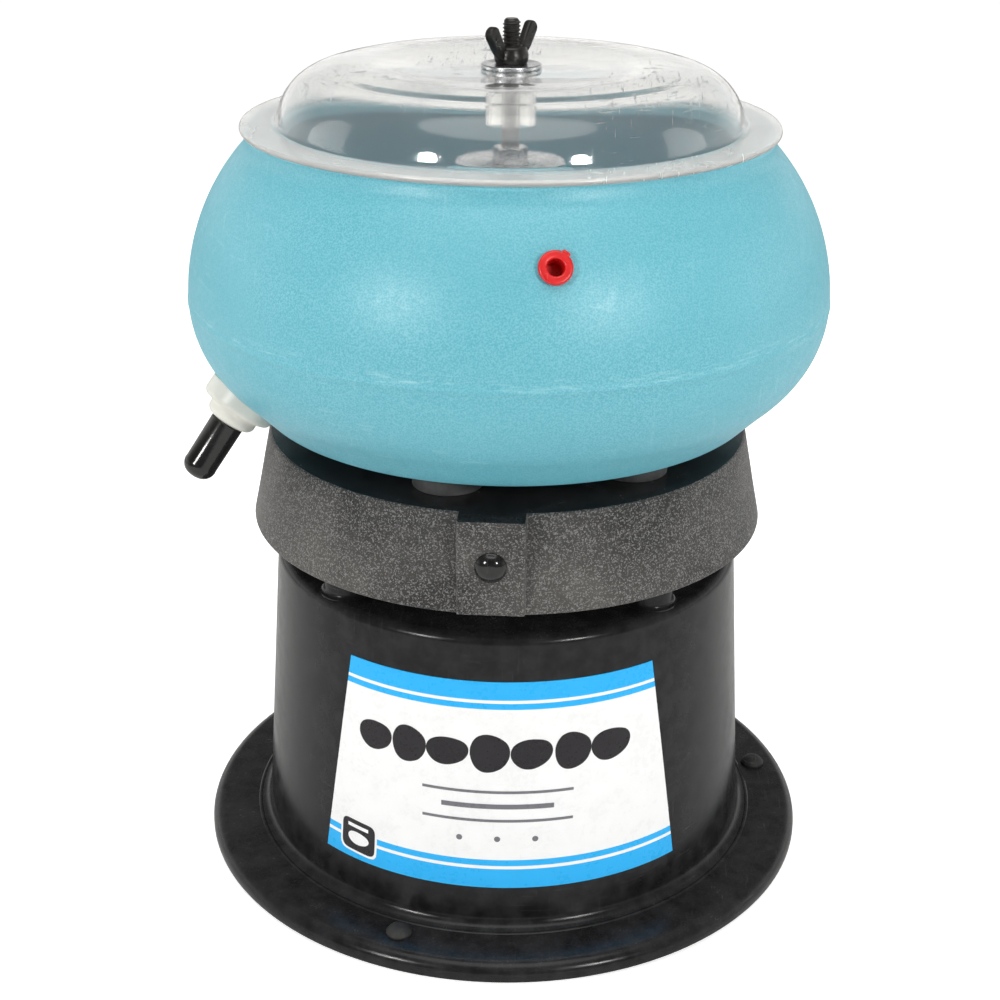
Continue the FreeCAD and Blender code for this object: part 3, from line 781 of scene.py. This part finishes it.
# ---- operators: base -------------------------------------------------------------
class TUMBLER_OT_housing(bpy.types.Operator):
    """Build the moulded housing with its flange, top plate and spring posts"""
    bl_idname = "tumbler.housing"
    bl_label = "Housing"

    def execute(self, context):
        bm = bmesh.new()
        lathe(bm, housing_outline(), 192)
        piece = finish(bm, "housing_shell", "base", "housing_plastic", finish_of("housing"),
                       replaces=("base_housing",))
        bush = middle("cord_grommet")
        carve(piece, lambda tool: lathe(
            tool, [(0, -12), (7.0, -12), (7.0, 12), (0, 12)], SMALL_ROUND, stand(bush, (0, 1, 0))))

        top = HOUSING_SHOULDER[1] + 3.6
        post_top = high("base_housing").z
        bm = bmesh.new()
        for spring in SPRINGS:
            at = middle(spring)
            post = outline(
                (6.6, top - 0.5), (6.6, post_top - 0.6), ((6.8, post_top - 0.2), (7.2, post_top), 3),
                (7.9, post_top), ((8.3, post_top - 0.2), (8.5, post_top - 0.6), 3),
                (8.5, top + 1.6), ((8.9, top + 0.5), (10.0, top), 4), (10.0, top - 0.5))
            lathe(bm, post, SMALL_ROUND, Matrix.Translation(Vector((at.x, at.y, 0)) * MM))
        finish(bm, "housing_spring_posts", "base", "housing_plastic", finish_of("housing"))
        return {"FINISHED"}


class TUMBLER_OT_feet(bpy.types.Operator):
    """Build the rubber feet and the cord bush"""
    bl_idname = "tumbler.feet"
    bl_label = "Feet and Cord Bush"

    def execute(self, context):
        for node in ("foot_1", "foot_2", "foot_3"):
            at = middle(node)
            flange = 10.3
            profile = outline(
                (0, 0.0), (3.2, 0.0), (3.6, 0.35), (4.6, 0.35), ((5.3, 0.5), (5.5, 1.2), 4),
                (7.1, 6.6), (7.1, 7.25), (3.0, 7.25), (3.0, flange),
                (4.6, flange + 0.05), ((4.7, flange + 0.7), (4.3, flange + 1.3), 4),
                ((3.1, flange + 2.55), (0, high(node).z), 8))
            bm = bmesh.new()
            lathe(bm, profile, SMALL_ROUND, Matrix.Translation(Vector((at.x, at.y, 0)) * MM))
            finish(bm, node + "_rubber", "base", "foot_rubber", finish_of("rubber"), replaces=(node,))
        back = high("cord_grommet").y
        front = low("cord_grommet").y
        at = Vector((0, 0, middle("cord_grommet").z))
        bush = outline(
            (3.4, front), (9.0, front), (9.0, front + 1.6), ((8.8, front + 2.0), (8.2, front + 2.1), 3),
            (6.9, front + 2.1), (6.9, back - 2.3), (9.0, back - 2.3), ((9.5, back - 1.9), (9.5, back - 1.2), 4),
            ((8.9, back - 0.2), (7.6, back), 5), (4.4, back), ((3.7, back - 0.3), (3.4, back - 1.0), 4))
        bm = bmesh.new()
        lathe(bm, bush, SMALL_ROUND, stand(at, (0, 1, 0)))
        finish(bm, "cord_bush", "base", "grommet_rubber", finish_of("rubber"), replaces=("cord_grommet",))
        return {"FINISHED"}


LABEL_FOOT = 26.4
LABEL_HEAD = 107.2
LABEL_CENTRE = 2.0
LABEL_LIFT = 0.28


def wrap(bm, verts):
    """Bend flat label artwork on to the cone: x across, y up the slant, z outwards."""
    for vert in verts:
        x, y, out = vert.co / MM
        height = LABEL_FOOT + y
        radius = housing_radius(height)
        angle = LABEL_CENTRE + math.degrees(x / radius)
        spot = around(radius + LABEL_LIFT + out, angle)
        vert.co = Vector((spot.x, spot.y, height)) * MM


def patch(bm, centre, half_width, half_height, shape, tilt=0.0, lift=0.05, grid=24):
    """A thin flat mark: a bar, an ellipse or a pill, with points inside to wrap well."""
    made = bmesh.ops.create_grid(bm, x_segments=grid, y_segments=12, size=1.0)["verts"]
    turn = math.radians(tilt)
    for vert in made:
        x, y = vert.co.x, vert.co.y
        if shape == "ellipse":
            x, y = x * math.sqrt(1 - y * y / 2), y * math.sqrt(1 - x * x / 2)
        elif shape == "stone":
            round_x, round_y = x * math.sqrt(1 - y * y / 2), y * math.sqrt(1 - x * x / 2)
            x = round_x * (1 + 0.10 * round_y) + 0.06 * x
            y = round_y * (1 - 0.14 * round_x + 0.10 * round_x ** 3) + 0.06 * y
        elif shape == "badge":
            x, y = x * (1 - 0.10 * y ** 8), y * (1 - 0.12 * x ** 8)
        x, y = x * half_width, y * half_height
        vert.co.x = (centre[0] + x * math.cos(turn) - y * math.sin(turn)) * MM
        vert.co.y = (centre[1] + x * math.sin(turn) + y * math.cos(turn)) * MM
        vert.co.z = lift * MM
    return made


class TUMBLER_OT_label(bpy.types.Operator):
    """Build the vinyl label with its blue bands and a generic row of stones"""
    bl_idname = "tumbler.label"
    bl_label = "Label"

    def execute(self, context):
        tall = LABEL_HEAD - LABEL_FOOT
        low_half = math.radians(43.0) * housing_radius(LABEL_FOOT)
        high_half = math.radians(36.8) * housing_radius(LABEL_HEAD)
        # band edges up the label, as shares of its height, and the ink between them
        rows = [(0.0, 1), (0.094, 0), (0.110, 1), (0.140, 0), (0.40, 0), (0.66, 0), (0.872, 1),
                (0.900, 0), (0.915, 1), (1.0, 1)]
        across = 48
        bm = bmesh.new()
        bmesh.ops.create_grid(bm, x_segments=across, y_segments=len(rows) - 1, size=0.5)
        for face in bm.faces:
            share = face.calc_center_median().y + 0.5
            face.material_index = rows[int(share * (len(rows) - 1))][1]
        for vert in bm.verts:
            share = rows[round((vert.co.y + 0.5) * (len(rows) - 1))][0]
            half = low_half + (high_half - low_half) * share
            vert.co = Vector((vert.co.x * 2 * half, share * tall, 0)) * MM
        every = bm.faces[:]
        rim = bmesh.ops.extrude_face_region(bm, geom=every)["geom"]
        moved = [v for v in rim if isinstance(v, bmesh.types.BMVert)]
        bmesh.ops.translate(bm, vec=(0, 0, -0.24 * MM), verts=moved)
        bmesh.ops.recalc_face_normals(bm, faces=bm.faces)
        wrap(bm, bm.verts)
        finish(bm, "label_sheet", "base", "label_vinyl", finish_of("label_white"), finish_of("label_blue"),
               replaces=("front_label",))

        middle_up = tall * 0.66
        stones = ((-46.0, 6.4, 5.2, 8), (-32.6, 6.0, 6.6, -10), (-18.4, 7.2, 5.0, 5), (-3.4, 6.6, 6.9, -6),
                  (11.4, 7.0, 5.4, 12), (26.0, 6.2, 6.7, -8), (40.4, 7.2, 5.6, 6))
        bm = bmesh.new()
        for x, wide, tall_half, tilt in stones:
            patch(bm, (x, middle_up), wide, tall_half, "stone", tilt)
        patch(bm, (-54.3, tall * 0.118), 7.4, 6.3, "badge", -3, 0.09)
        wrap(bm, bm.verts)
        finish(bm, "label_stones", "base", "label_vinyl", finish_of("label_ink"))

        bm = bmesh.new()
        patch(bm, (-0.5, tall * 0.475), 27.0, 0.55, "bar", 0, 0.05, 26)
        patch(bm, (-0.5, tall * 0.405), 20.0, 0.95, "bar", 0, 0.05, 22)
        patch(bm, (-0.5, tall * 0.335), 27.0, 0.55, "bar", 0, 0.05, 26)
        for x in (-14.0, -0.5, 13.0):
            patch(bm, (x, tall * 0.245), 1.1, 1.1, "ellipse", 0, 0.05)
        wrap(bm, bm.verts)
        finish(bm, "label_rules", "base", "label_vinyl", finish_of("label_grey"))

        bm = bmesh.new()
        patch(bm, (-54.3, tall * 0.118), 8.3, 7.2, "badge", -3, 0.06)
        patch(bm, (-54.3, tall * 0.165), 4.6, 0.7, "bar", -3, 0.12)
        patch(bm, (-54.3, tall * 0.105), 4.4, 2.4, "stone", -3, 0.12)
        wrap(bm, bm.verts)
        finish(bm, "label_badge", "base", "label_vinyl", finish_of("label_white"))
        return {"FINISHED"}


# ---- operators: suspension and pan -----------------------------------------------
class TUMBLER_OT_springs(bpy.types.Operator):
    """Give the suspension springs their bright wire"""
    bl_idname = "tumbler.springs"
    bl_label = "Springs"

    def execute(self, context):
        for node in SPRINGS:
            coat(node, finish_of("steel"))
        return {"FINISHED"}


class TUMBLER_OT_pan(bpy.types.Operator):
    """Build the drive pan: skirt, deck, spring bosses and the flat front panel"""
    bl_idname = "tumbler.pan"
    bl_label = "Drive Pan"

    def execute(self, context):
        foot, top = low("drive_pan").z, high("drive_pan").z
        front = low("drive_pan").y
        wide, narrow = 95.1, 88.3
        wall = 2.6
        under = top - 3.5
        slope = (narrow - wide) / (top - foot)

        def skirt(height):
            return wide + slope * (height - foot)

        profile = outline(
            (0, under), (skirt(under) - wall - 1.5, under), (skirt(under) - wall, under - 1.5),
            (skirt(foot) - wall, foot + 0.3), (skirt(foot) - wall + 0.3, foot),
            (skirt(foot) - 0.7, foot), ((skirt(foot) - 0.2, foot + 0.2), (skirt(foot), foot + 0.8), 4),
            (skirt(foot + 12), foot + 12), (skirt(foot + 23), foot + 23),
            (skirt(top) + 0.15, top - 0.9), ((skirt(top) - 0.25, top - 0.25), (skirt(top) - 1.0, top), 5),
            (60.0, top), (0, top))
        bm = bmesh.new()
        lathe(bm, profile, 192)
        piece = finish(bm, "pan_moulding", "drive", "pan_plastic", finish_of("pan"), finish_of("housing"),
                       replaces=("drive_pan",))
        half = 11.4
        rounded = 0.55
        carve(piece, lambda tool: block(
            tool, (-half, front, foot), (half, front + 22, top), rounded), "UNION")
        carve(piece, lambda tool: block(
            tool, (-half + wall, front + wall, foot - 4), (half - wall, front + 21, under)))
        # The deck's top faces take the housing's darker, glossier black: painted shade for the deck, which lies
        # in shadow under the bowl.
        for face in piece.data.polygons:
            face.material_index = int(face.center.z > (top - 0.05) * MM)
        bm = bmesh.new()
        for spring in SPRINGS:
            at = middle(spring)
            boss = high(spring).z
            pin = outline((0, boss - 8.5), (3.4, boss - 8.5), (4.2, boss - 7.6), (4.2, boss),
                          (6.9, boss), (7.4, boss + 0.5), (7.4, under + 0.5), (0, under + 0.5))
            lathe(bm, pin, 32, Matrix.Translation(Vector((at.x, at.y, 0)) * MM))
        finish(bm, "pan_spring_bosses", "drive", "pan_plastic", finish_of("gloss_black"))
        return {"FINISHED"}


class TUMBLER_OT_panel_plug(bpy.types.Operator):
    """Build the domed plug of the front panel"""
    bl_idname = "tumbler.panel_plug"
    bl_label = "Panel Plug"

    def execute(self, context):
        at = middle("panel_plug")
        face = low("drive_pan").y
        profile = outline((0, -5.0), (2.3, -5.0), (2.4, -4.6), (2.4, 0.05), (5.3, 0.05),
                          ((5.4, 0.35), (5.15, 0.7), 4), ((3.6, 2.25), (0, 3.0), 12))
        bm = bmesh.new()
        lathe(bm, profile, 64, stand((at.x, face, at.z), (0, -1, 0)))
        finish(bm, "panel_plug_dome", "drive", "plug_plastic", finish_of("gloss_black"),
               replaces=("panel_plug",))
        return {"FINISHED"}


class TUMBLER_OT_pads(bpy.types.Operator):
    """Build the rubber pads that carry the bowl"""
    bl_idname = "tumbler.pads"
    bl_label = "Bowl Pads"

    def execute(self, context):
        floor, seat = low("bowl_pads").z, high("bowl_pads").z
        bm = bmesh.new()
        for number in range(6):
            at = around(65.0, -15.0 + 60 * number)
            profile = outline(
                (0, floor), (11.9, floor), ((12.2, floor + 0.1), (12.3, floor + 0.4), 3), (12.3, seat - 1.2),
                ((11.95, seat - 0.35), (11.1, seat), 4), (0, seat))
            lathe(bm, profile, SMALL_ROUND, Matrix.Translation(at * MM))
        finish(bm, "bowl_pad_set", "drive", "pad_rubber", finish_of("pad"), replaces=("bowl_pads",))
        return {"FINISHED"}


# ---- operators: bowl and its fittings --------------------------------------------
def inlet_place():
    """Where the filling plug sits: its flange's back on the bowl's shoulder."""
    out = slide_axis("inlet_plug_pull")
    return around(105.4, 10.5) + Vector((0, 0, 257.9)), out


def drain_place():
    """Where the drain's axis meets the bowl."""
    out = slide_axis("drain_cap_pull")
    return around(100.4, -64.5) + Vector((0, 0, 190.9)), out


class TUMBLER_OT_bowl(bpy.types.Operator):
    """Build the ring-shaped bowl with its parting line and its two holes"""
    bl_idname = "tumbler.bowl"
    bl_label = "Bowl"

    def execute(self, context):
        wall = sizes().bowl_wall / MM
        bm = bmesh.new()
        lathe(bm, skin_to_wall(bowl_skin(), wall), 192)
        piece = finish(bm, "bowl_moulding", "drive", "bowl_plastic", finish_of("bowl"), replaces=("bowl",))
        for (point, out), radius in ((inlet_place(), 3.9), (drain_place(), 6.5)):
            hole = [(0, -14), (radius, -14), (radius, 14), (0, 14)]
            carve(piece, lambda tool: lathe(tool, hole, SMALL_ROUND, stand(point, out)))
        return {"FINISHED"}


class TUMBLER_OT_inlet_plug(bpy.types.Operator):
    """Build the red cup-shaped plug with its pull tab"""
    bl_idname = "tumbler.inlet_plug"
    bl_label = "Filling Plug"

    def execute(self, context):
        point, out = inlet_place()
        profile = outline(
            (0, -7.0), (3.5, -7.0), ((3.75, -6.9), (3.82, -6.5), 3), (3.82, 0.35), (4.9, 0.35),
            ((5.22, 0.45), (5.35, 0.9), 4), ((5.15, 1.75), (4.5, 2.0), 5), (3.4, 2.0),
            ((2.85, 1.75), (2.7, 1.2), 5), (2.65, -5.0), (2.3, -5.4), (0, -5.4))
        bm = bmesh.new()
        placed = stand(point, out)
        lathe(bm, profile, 64, placed)
        tab = block(bm, (4.0, -1.4, 0.5), (6.1, 1.4, 1.9), 0.5, 4)
        bmesh.ops.transform(bm, matrix=placed @ Matrix.Rotation(math.radians(62), 4, "Z"), verts=tab)
        finish(bm, "filling_plug", "inlet_plug", "red_vinyl", finish_of("red"), replaces=("inlet_plug",))
        return {"FINISHED"}


class TUMBLER_OT_drain(bpy.types.Operator):
    """Build the white drain fitting, its nut and seal, and the black cap"""
    bl_idname = "tumbler.drain"
    bl_label = "Drain"

    def execute(self, context):
        point, out = drain_place()
        placed = stand(point, out)
        profile = outline(
            (2.6, -16.0), (6.45, -16.0), (6.45, -3.4), (12.2, -3.4), (12.9, -2.8), (13.0, 2.2),
            ((12.6, 3.5), (10.8, 4.2), 5), ((9.4, 4.8), (9.0, 6.0), 5), ((8.5, 8.1), (6.6, 9.2), 6),
            (5.4, 9.4), (4.6, 9.4), (4.6, 26.0), (4.2, 26.6), (2.9, 26.6), (2.6, 26.2))
        bm = bmesh.new()
        lathe(bm, profile, 72, placed)
        finish(bm, "drain_body", "drive", "white_plastic", finish_of("white"), replaces=("drain_fitting",))

        profile = outline(
            (4.66, 9.7), (5.75, 9.7), ((5.95, 9.8), (6.0, 10.2), 3), (5.85, 26.5),
            ((5.0, 30.2), (2.2, 31.9), 8), (0, 32.0), (0, 26.9), (4.66, 26.9))
        bm = bmesh.new()
        lathe(bm, profile, 56, placed)
        finish(bm, "drain_vinyl_cap", "drain_cap", "black_vinyl", finish_of("vinyl_black"),
               replaces=("drain_cap",))
        coat("drain_nut", finish_of("white"))
        coat("drain_washer", finish_of("seal"))
        return {"FINISHED"}


# ---- operators: stud, nuts and washers -------------------------------------------
def thread(bm, start, end, core, crest, pitch):
    """A helical ridge about Z between two heights, spun from one small triangle."""
    turns = (end - start) / pitch
    per_turn = 30
    steps = int(turns * per_turn)
    half = pitch * 0.46
    corners = ((core - 0.25, start - half), (crest, start), (core - 0.25, start + half))
    verts = [bm.verts.new((x * MM, 0, z * MM)) for x, z in corners]
    face = bm.faces.new(verts)
    bmesh.ops.spin(
        bm, geom=[face], cent=(0, 0, 0), axis=(0, 0, 1), angle=2 * math.pi * steps / per_turn,
        dvec=(0, 0, pitch / per_turn * MM), steps=steps)


class TUMBLER_OT_stud(bpy.types.Operator):
    """Build the centre stud with its black threaded end, and finish the nuts on it"""
    bl_idname = "tumbler.stud"
    bl_label = "Centre Stud"

    def execute(self, context):
        bottom, top = low("centre_stud").z, high("centre_stud").z
        radius = high("centre_stud").x
        pitch = sizes().thread_pitch / MM
        core = radius - 0.55
        black_from = high("lid").z - 5.5
        bm = bmesh.new()
        lathe(bm, outline((0, bottom + 18), (radius, bottom + 18), (radius, black_from - 0.5),
                          (core, black_from), (0, black_from)), SMALL_ROUND)
        lathe(bm, outline((0, bottom), (core - 0.5, bottom), (core, bottom + 0.6), (core, bottom + 18),
                          (0, bottom + 18)), SMALL_ROUND)
        thread(bm, bottom + 1.2, bottom + 17, core, radius, pitch)
        bmesh.ops.recalc_face_normals(bm, faces=bm.faces)
        finish(bm, "stud_rod", "drive", "zinc_steel", finish_of("rod"), replaces=("centre_stud",))
        bm = bmesh.new()
        lathe(bm, outline((0, black_from - 0.4), (core, black_from - 0.4), (core, top - 0.7),
                          (core - 0.6, top), (0, top)), SMALL_ROUND)
        thread(bm, black_from + 0.3, top - 0.9, core, radius, pitch)
        bmesh.ops.recalc_face_normals(bm, faces=bm.faces)
        finish(bm, "stud_thread", "drive", "black_steel", finish_of("black_steel"))
        for node in ("stud_lock_nuts", "bowl_nut"):
            coat(node, finish_of("zinc"))
        return {"FINISHED"}


def washer(node, hole, name, body):
    """A stamped washer with rolled edges, in place of its CAD node."""
    bottom, top = low(node).z, high(node).z
    rim = high(node).x
    profile = outline(
        (hole, bottom + 0.2), (hole + 0.3, bottom), (rim - 0.5, bottom),
        ((rim - 0.1, bottom + 0.1), (rim, bottom + 0.5), 3), (rim, top - 0.5),
        ((rim - 0.12, top - 0.12), (rim - 0.6, top), 4),
        (hole + 0.5, top), (hole, top - 0.3))
    bm = bmesh.new()
    lathe(bm, profile, 72)
    finish(bm, name, body, "zinc_steel", finish_of("zinc"), replaces=(node,))


class TUMBLER_OT_washers(bpy.types.Operator):
    """Build the wide washer in the bowl and the small one on the lid"""
    bl_idname = "tumbler.washers"
    bl_label = "Washers"

    def execute(self, context):
        washer("bowl_washer", 3.3, "bowl_post_washer", "drive")
        washer("lid_washer", 3.5, "lid_top_washer", "nut_washer")
        return {"FINISHED"}


# ---- operators: lid --------------------------------------------------------------
class TUMBLER_OT_lid(bpy.types.Operator):
    """Build the clear domed lid and the sleeve under it"""
    bl_idname = "tumbler.lid"
    bl_label = "Lid"

    def execute(self, context):
        wall = sizes().lid_wall / MM
        skin = lid_skin()
        under = inset(skin, wall)
        edge = skin[0]
        rounded = arc((edge[0], edge[1] - wall), (high("lid").x, edge[1] - wall / 2), edge, 5)
        points = skin + under[:0:-1] + [(edge[0], edge[1] - wall)] + rounded[:-1]
        bm = bmesh.new()
        lathe(bm, points, 192)
        for face in bm.faces:
            face.material_index = int(face.calc_center_median().xy.length > 0.0822)
        finish(bm, "lid_dome", "lid", "clear_plastic", finish_of("clear"), finish_of("hazed"),
               replaces=("lid",))

        bottom, top = low("lid_sleeve").z, high("lid_sleeve").z
        outer = high("lid_sleeve").x
        profile = outline(
            (7.4, bottom + 0.4), ((7.5, bottom + 0.1), (7.8, bottom), 3), (outer - 0.4, bottom),
            ((outer - 0.1, bottom + 0.1), (outer, bottom + 0.4), 3), (outer, top - 0.05), (5.6, top - 0.05),
            (5.2, top - 0.5), (7.0, top - 5.5))
        bm = bmesh.new()
        lathe(bm, profile, 64)
        finish(bm, "lid_tube", "lid", "clear_plastic", finish_of("clear"), replaces=("lid_sleeve",))
        return {"FINISHED"}


class TUMBLER_OT_wing_nut(bpy.types.Operator):
    """Build the black wing nut with its rounded, raked wings"""
    bl_idname = "tumbler.wing_nut"
    bl_label = "Wing Nut"

    def execute(self, context):
        base = low("wing_nut").z
        hole = 3.2
        bm = bmesh.new()
        hub = outline(
            (hole, base), (5.3, base), ((6.0, base + 2.4), (5.5, base + 4.6), 8),
            ((5.0, base + 5.6), (4.2, base + 6.0), 4), (hole + 0.4, base + 6.0), (hole, base + 5.5))
        lathe(bm, hub, SMALL_ROUND)
        for side in (1, -1):
            shape = outline(
                (3.7, base + 1.0), (6.0, base + 1.0), (9.6, base + 4.6), (13.1, base + 9.6),
                ((13.2, base + 11.6), (12.0, base + 12.9), 4), ((11.0, base + 13.3), (10.0, base + 13.3), 3),
                ((9.2, base + 13.0), (8.6, base + 12.5), 3),
                (4.9, base + 6.2), (3.7, base + 5.2))
            wing = prism(bm, [(side * x, z) for x, z in shape], 3.0)
            soften(bm, wing, 0.75, 3)
        turn = Matrix.Rotation(math.radians(-34.0 - 90.0), 4, "Z")
        bmesh.ops.transform(bm, matrix=turn, verts=bm.verts)
        finish(bm, "wing_nut_forging", "wing_nut", "black_steel", finish_of("black_steel"),
               replaces=("wing_nut",))
        return {"FINISHED"}


# ---- operators: motor ------------------------------------------------------------
class TUMBLER_OT_motor(bpy.types.Operator):
    """Wind the motor's coil and finish the motor, its plate and the turning parts"""
    bl_idname = "tumbler.motor"
    bl_label = "Motor"

    def execute(self, context):
        nodes = {
            "laminations": ("motor_core", "rotor_core"),
            "zinc": ("motor_plate", "upper_bracket", "lower_bracket", "plate_standoffs", "standoff_screws",
                     "motor_bolts", "motor_bolt_nuts", "bracket_spacers"),
            "bronze": ("upper_bearing", "lower_bearing"),
            "steel": ("motor_shaft", "eccentric_weight"),
            "aluminium": ("cooling_fan",),
            "black_steel": ("weight_set_screw",),
        }
        for name, members in nodes.items():
            for node in members:
                coat(node, finish_of(name))
        self.wind()
        return {"FINISHED"}

    def wind(self):
        """The coil: two bobbin cheeks and rows of wire round the stator's leg."""
        corner, opposite = low("motor_coil"), high("motor_coil")
        rows = sizes().coil_turns
        cheek = 1.6
        bm = bmesh.new()
        for start in (corner.x, opposite.x - cheek):
            block(bm, (start, corner.y, corner.z), (start + cheek, opposite.y, opposite.z), 0.5, 2)
        finish(bm, "coil_bobbin", "drive", "copper_winding", finish_of("tape"), replaces=("motor_coil",))
        bm = bmesh.new()
        room = opposite.x - corner.x - 2 * cheek
        wire = room / rows
        for row in range(rows):
            start = corner.x + cheek + row * wire
            block(bm, (start, corner.y + 1.2, corner.z + 1.2),
                  (start + wire, opposite.y - 1.2, opposite.z - 1.2), wire * 0.45, 2)
        finish(bm, "coil_wire", "drive", "copper_winding", finish_of("copper"))


# ---- operator: stage -------------------------------------------------------------
class TUMBLER_OT_stage(bpy.types.Operator):
    """Build the pale floor, the soft studio light and the camera"""
    bl_idname = "tumbler.stage"
    bl_label = "Stage"

    def execute(self, context):
        self.floor()
        self.surround()
        self.lamps()
        self.camera()
        context.scene.view_settings.view_transform = "Standard"
        return {"FINISHED"}

    def floor(self):
        bm = bmesh.new()
        bmesh.ops.create_grid(bm, x_segments=8, y_segments=8, size=8.0)
        mesh = bpy.data.meshes.new("floor")
        bm.to_mesh(mesh)
        bm.free()
        floor = bpy.data.objects.new("floor", mesh)
        bpy.context.scene.collection.objects.link(floor)
        made = Finish("floor_paper", specular_ior_level=0.1)
        tone = made.tree.noise(made.place, 3.0, 3.0)
        path = made.tree.add("ShaderNodeLightPath").outputs
        seen = made.tree.math("MAXIMUM", path["Is Camera Ray"], path["Is Transmission Ray"])
        paper = made.tree.mix(tone, (0.90, 0.90, 0.90), (0.93, 0.93, 0.93))
        made.set("Base Color", made.tree.mix(seen, (0.90, 0.90, 0.90), paper))
        made.set("Roughness", made.tree.fit(tone, 0.3, 0.7, 0.8, 0.9))
        made.shader.inputs["Emission Color"].default_value = (1.0, 1.0, 1.0, 1.0)
        made.set("Emission Strength", made.tree.math("MULTIPLY", seen, 0.7))
        mesh.materials.append(made.material)

    def surround(self):
        """A white room whose front wall is dimmer, seen as plain white by the camera."""
        world = bpy.data.worlds.new("studio")
        world.use_nodes = True
        tree = Tree(world.node_tree)
        world.node_tree.nodes.clear()
        direction = tree.add("ShaderNodeTexCoord").outputs["Generated"]
        parts = tree.add("ShaderNodeSeparateXYZ", {"Vector": direction})
        depth = tree.fit(parts.outputs["Y"], -0.45, 0.15, 0.12, 1.1)
        wall = tree.math("MULTIPLY", depth, tree.fit(parts.outputs["Z"], 0.12, 0.42, 1.0, 0.22))
        above = tree.fit(parts.outputs["Z"], 0.55, 0.95, 0.0, 0.5)
        light = tree.math("MAXIMUM", wall, above)
        room = tree.add("ShaderNodeBackground", {"Color": (1.0, 0.99, 0.97, 1.0), "Strength": light})
        seen = tree.add("ShaderNodeBackground", {"Color": (1.0, 1.0, 1.0, 1.0), "Strength": 1.0})
        path = tree.add("ShaderNodeLightPath").outputs
        direct = tree.math("MAXIMUM", path["Is Camera Ray"], path["Is Transmission Ray"])
        both = tree.add("ShaderNodeMixShader", {0: direct, 1: room.outputs[0], 2: seen.outputs[0]})
        tree.add("ShaderNodeOutputWorld", {"Surface": both.outputs[0]})
        bpy.context.scene.world = world

    def lamps(self):
        aim = Vector((0, 0, 0.17))
        lamps = (
            ("overhead", (0.0, -0.35, 1.35), (1.3, 1.0), 6.2),
            ("front_left", (-1.1, -1.5, 0.9), (0.30, 0.30), 14.0),
            ("front_right", (1.1, -1.5, 0.9), (0.30, 0.30), 14.0),
            ("side_left", (-1.1, 0.1, 0.40), (0.5, 1.1), 4.0),
            ("side_right", (1.1, 0.1, 0.40), (0.5, 1.1), 4.0),
        )
        for name, spot, size, power in lamps:
            lamp = bpy.data.lights.new(name, "AREA")
            lamp.shape = "ELLIPSE"
            lamp.size, lamp.size_y = size
            lamp.energy = power
            lamp.color = (1.0, 0.985, 0.96)
            holder = bpy.data.objects.new(name, lamp)
            bpy.context.scene.collection.objects.link(holder)
            holder.location = spot
            holder.rotation_euler = (Vector(spot) - aim).to_track_quat("Z", "Y").to_euler()
            holder.visible_glossy = not name.startswith("side")

    def camera(self):
        given = sizes()
        heading = given.camera_azimuth + math.radians(0.24)
        pitch = math.radians(23.51)
        roll = math.radians(0.51)
        spot = around(given.camera_distance, math.degrees(given.camera_azimuth))
        view = bpy.data.cameras.new("camera")
        view.lens = 62.28
        view.sensor_width = 36.0
        view.clip_start = 0.02
        holder = bpy.data.objects.new("camera", view)
        bpy.context.scene.collection.objects.link(holder)
        turn = Matrix.Rotation(heading, 4, "Z") @ Matrix.Rotation(math.pi / 2 - pitch, 4, "X")
        place = Matrix.Translation((spot.x, spot.y, given.camera_height))
        holder.matrix_world = place @ turn @ Matrix.Rotation(roll, 4, "Z")
        bpy.context.scene.camera = holder


OPERATORS = (
    TUMBLER_OT_housing, TUMBLER_OT_feet, TUMBLER_OT_label, TUMBLER_OT_springs, TUMBLER_OT_pan,
    TUMBLER_OT_panel_plug, TUMBLER_OT_pads, TUMBLER_OT_bowl, TUMBLER_OT_inlet_plug, TUMBLER_OT_drain,
    TUMBLER_OT_stud, TUMBLER_OT_washers, TUMBLER_OT_lid, TUMBLER_OT_wing_nut, TUMBLER_OT_motor,
    TUMBLER_OT_stage,
)


class TUMBLER_PT_panel(bpy.types.Panel):
    """Sizes, colours and the pieces of the tumbler"""
    bl_idname = "TUMBLER_PT_panel"
    bl_label = "Tumbler"
    bl_space_type = "VIEW_3D"
    bl_region_type = "UI"
    bl_category = "Tumbler"

    def draw(self, context):
        for group in (context.scene.tumbler_sizes, context.scene.tumbler_colours):
            for key in group.__annotations__:
                self.layout.prop(group, key)
        for operator in OPERATORS:
            self.layout.operator(operator.bl_idname)


CLASSES = (TumblerSizes, TumblerColours, *OPERATORS, TUMBLER_PT_panel)


def register():
    for each in CLASSES:
        bpy.utils.register_class(each)
    bpy.types.Scene.tumbler_sizes = PointerProperty(type=TumblerSizes)
    bpy.types.Scene.tumbler_colours = PointerProperty(type=TumblerColours)


def unregister():
    del bpy.types.Scene.tumbler_colours
    del bpy.types.Scene.tumbler_sizes
    for each in reversed(CLASSES):
        bpy.utils.unregister_class(each)


def main():
    register()
    for operator in OPERATORS:
        family, name = operator.bl_idname.split(".")
        getattr(getattr(bpy.ops, family), name)()


if __name__ == "__main__":
    main()
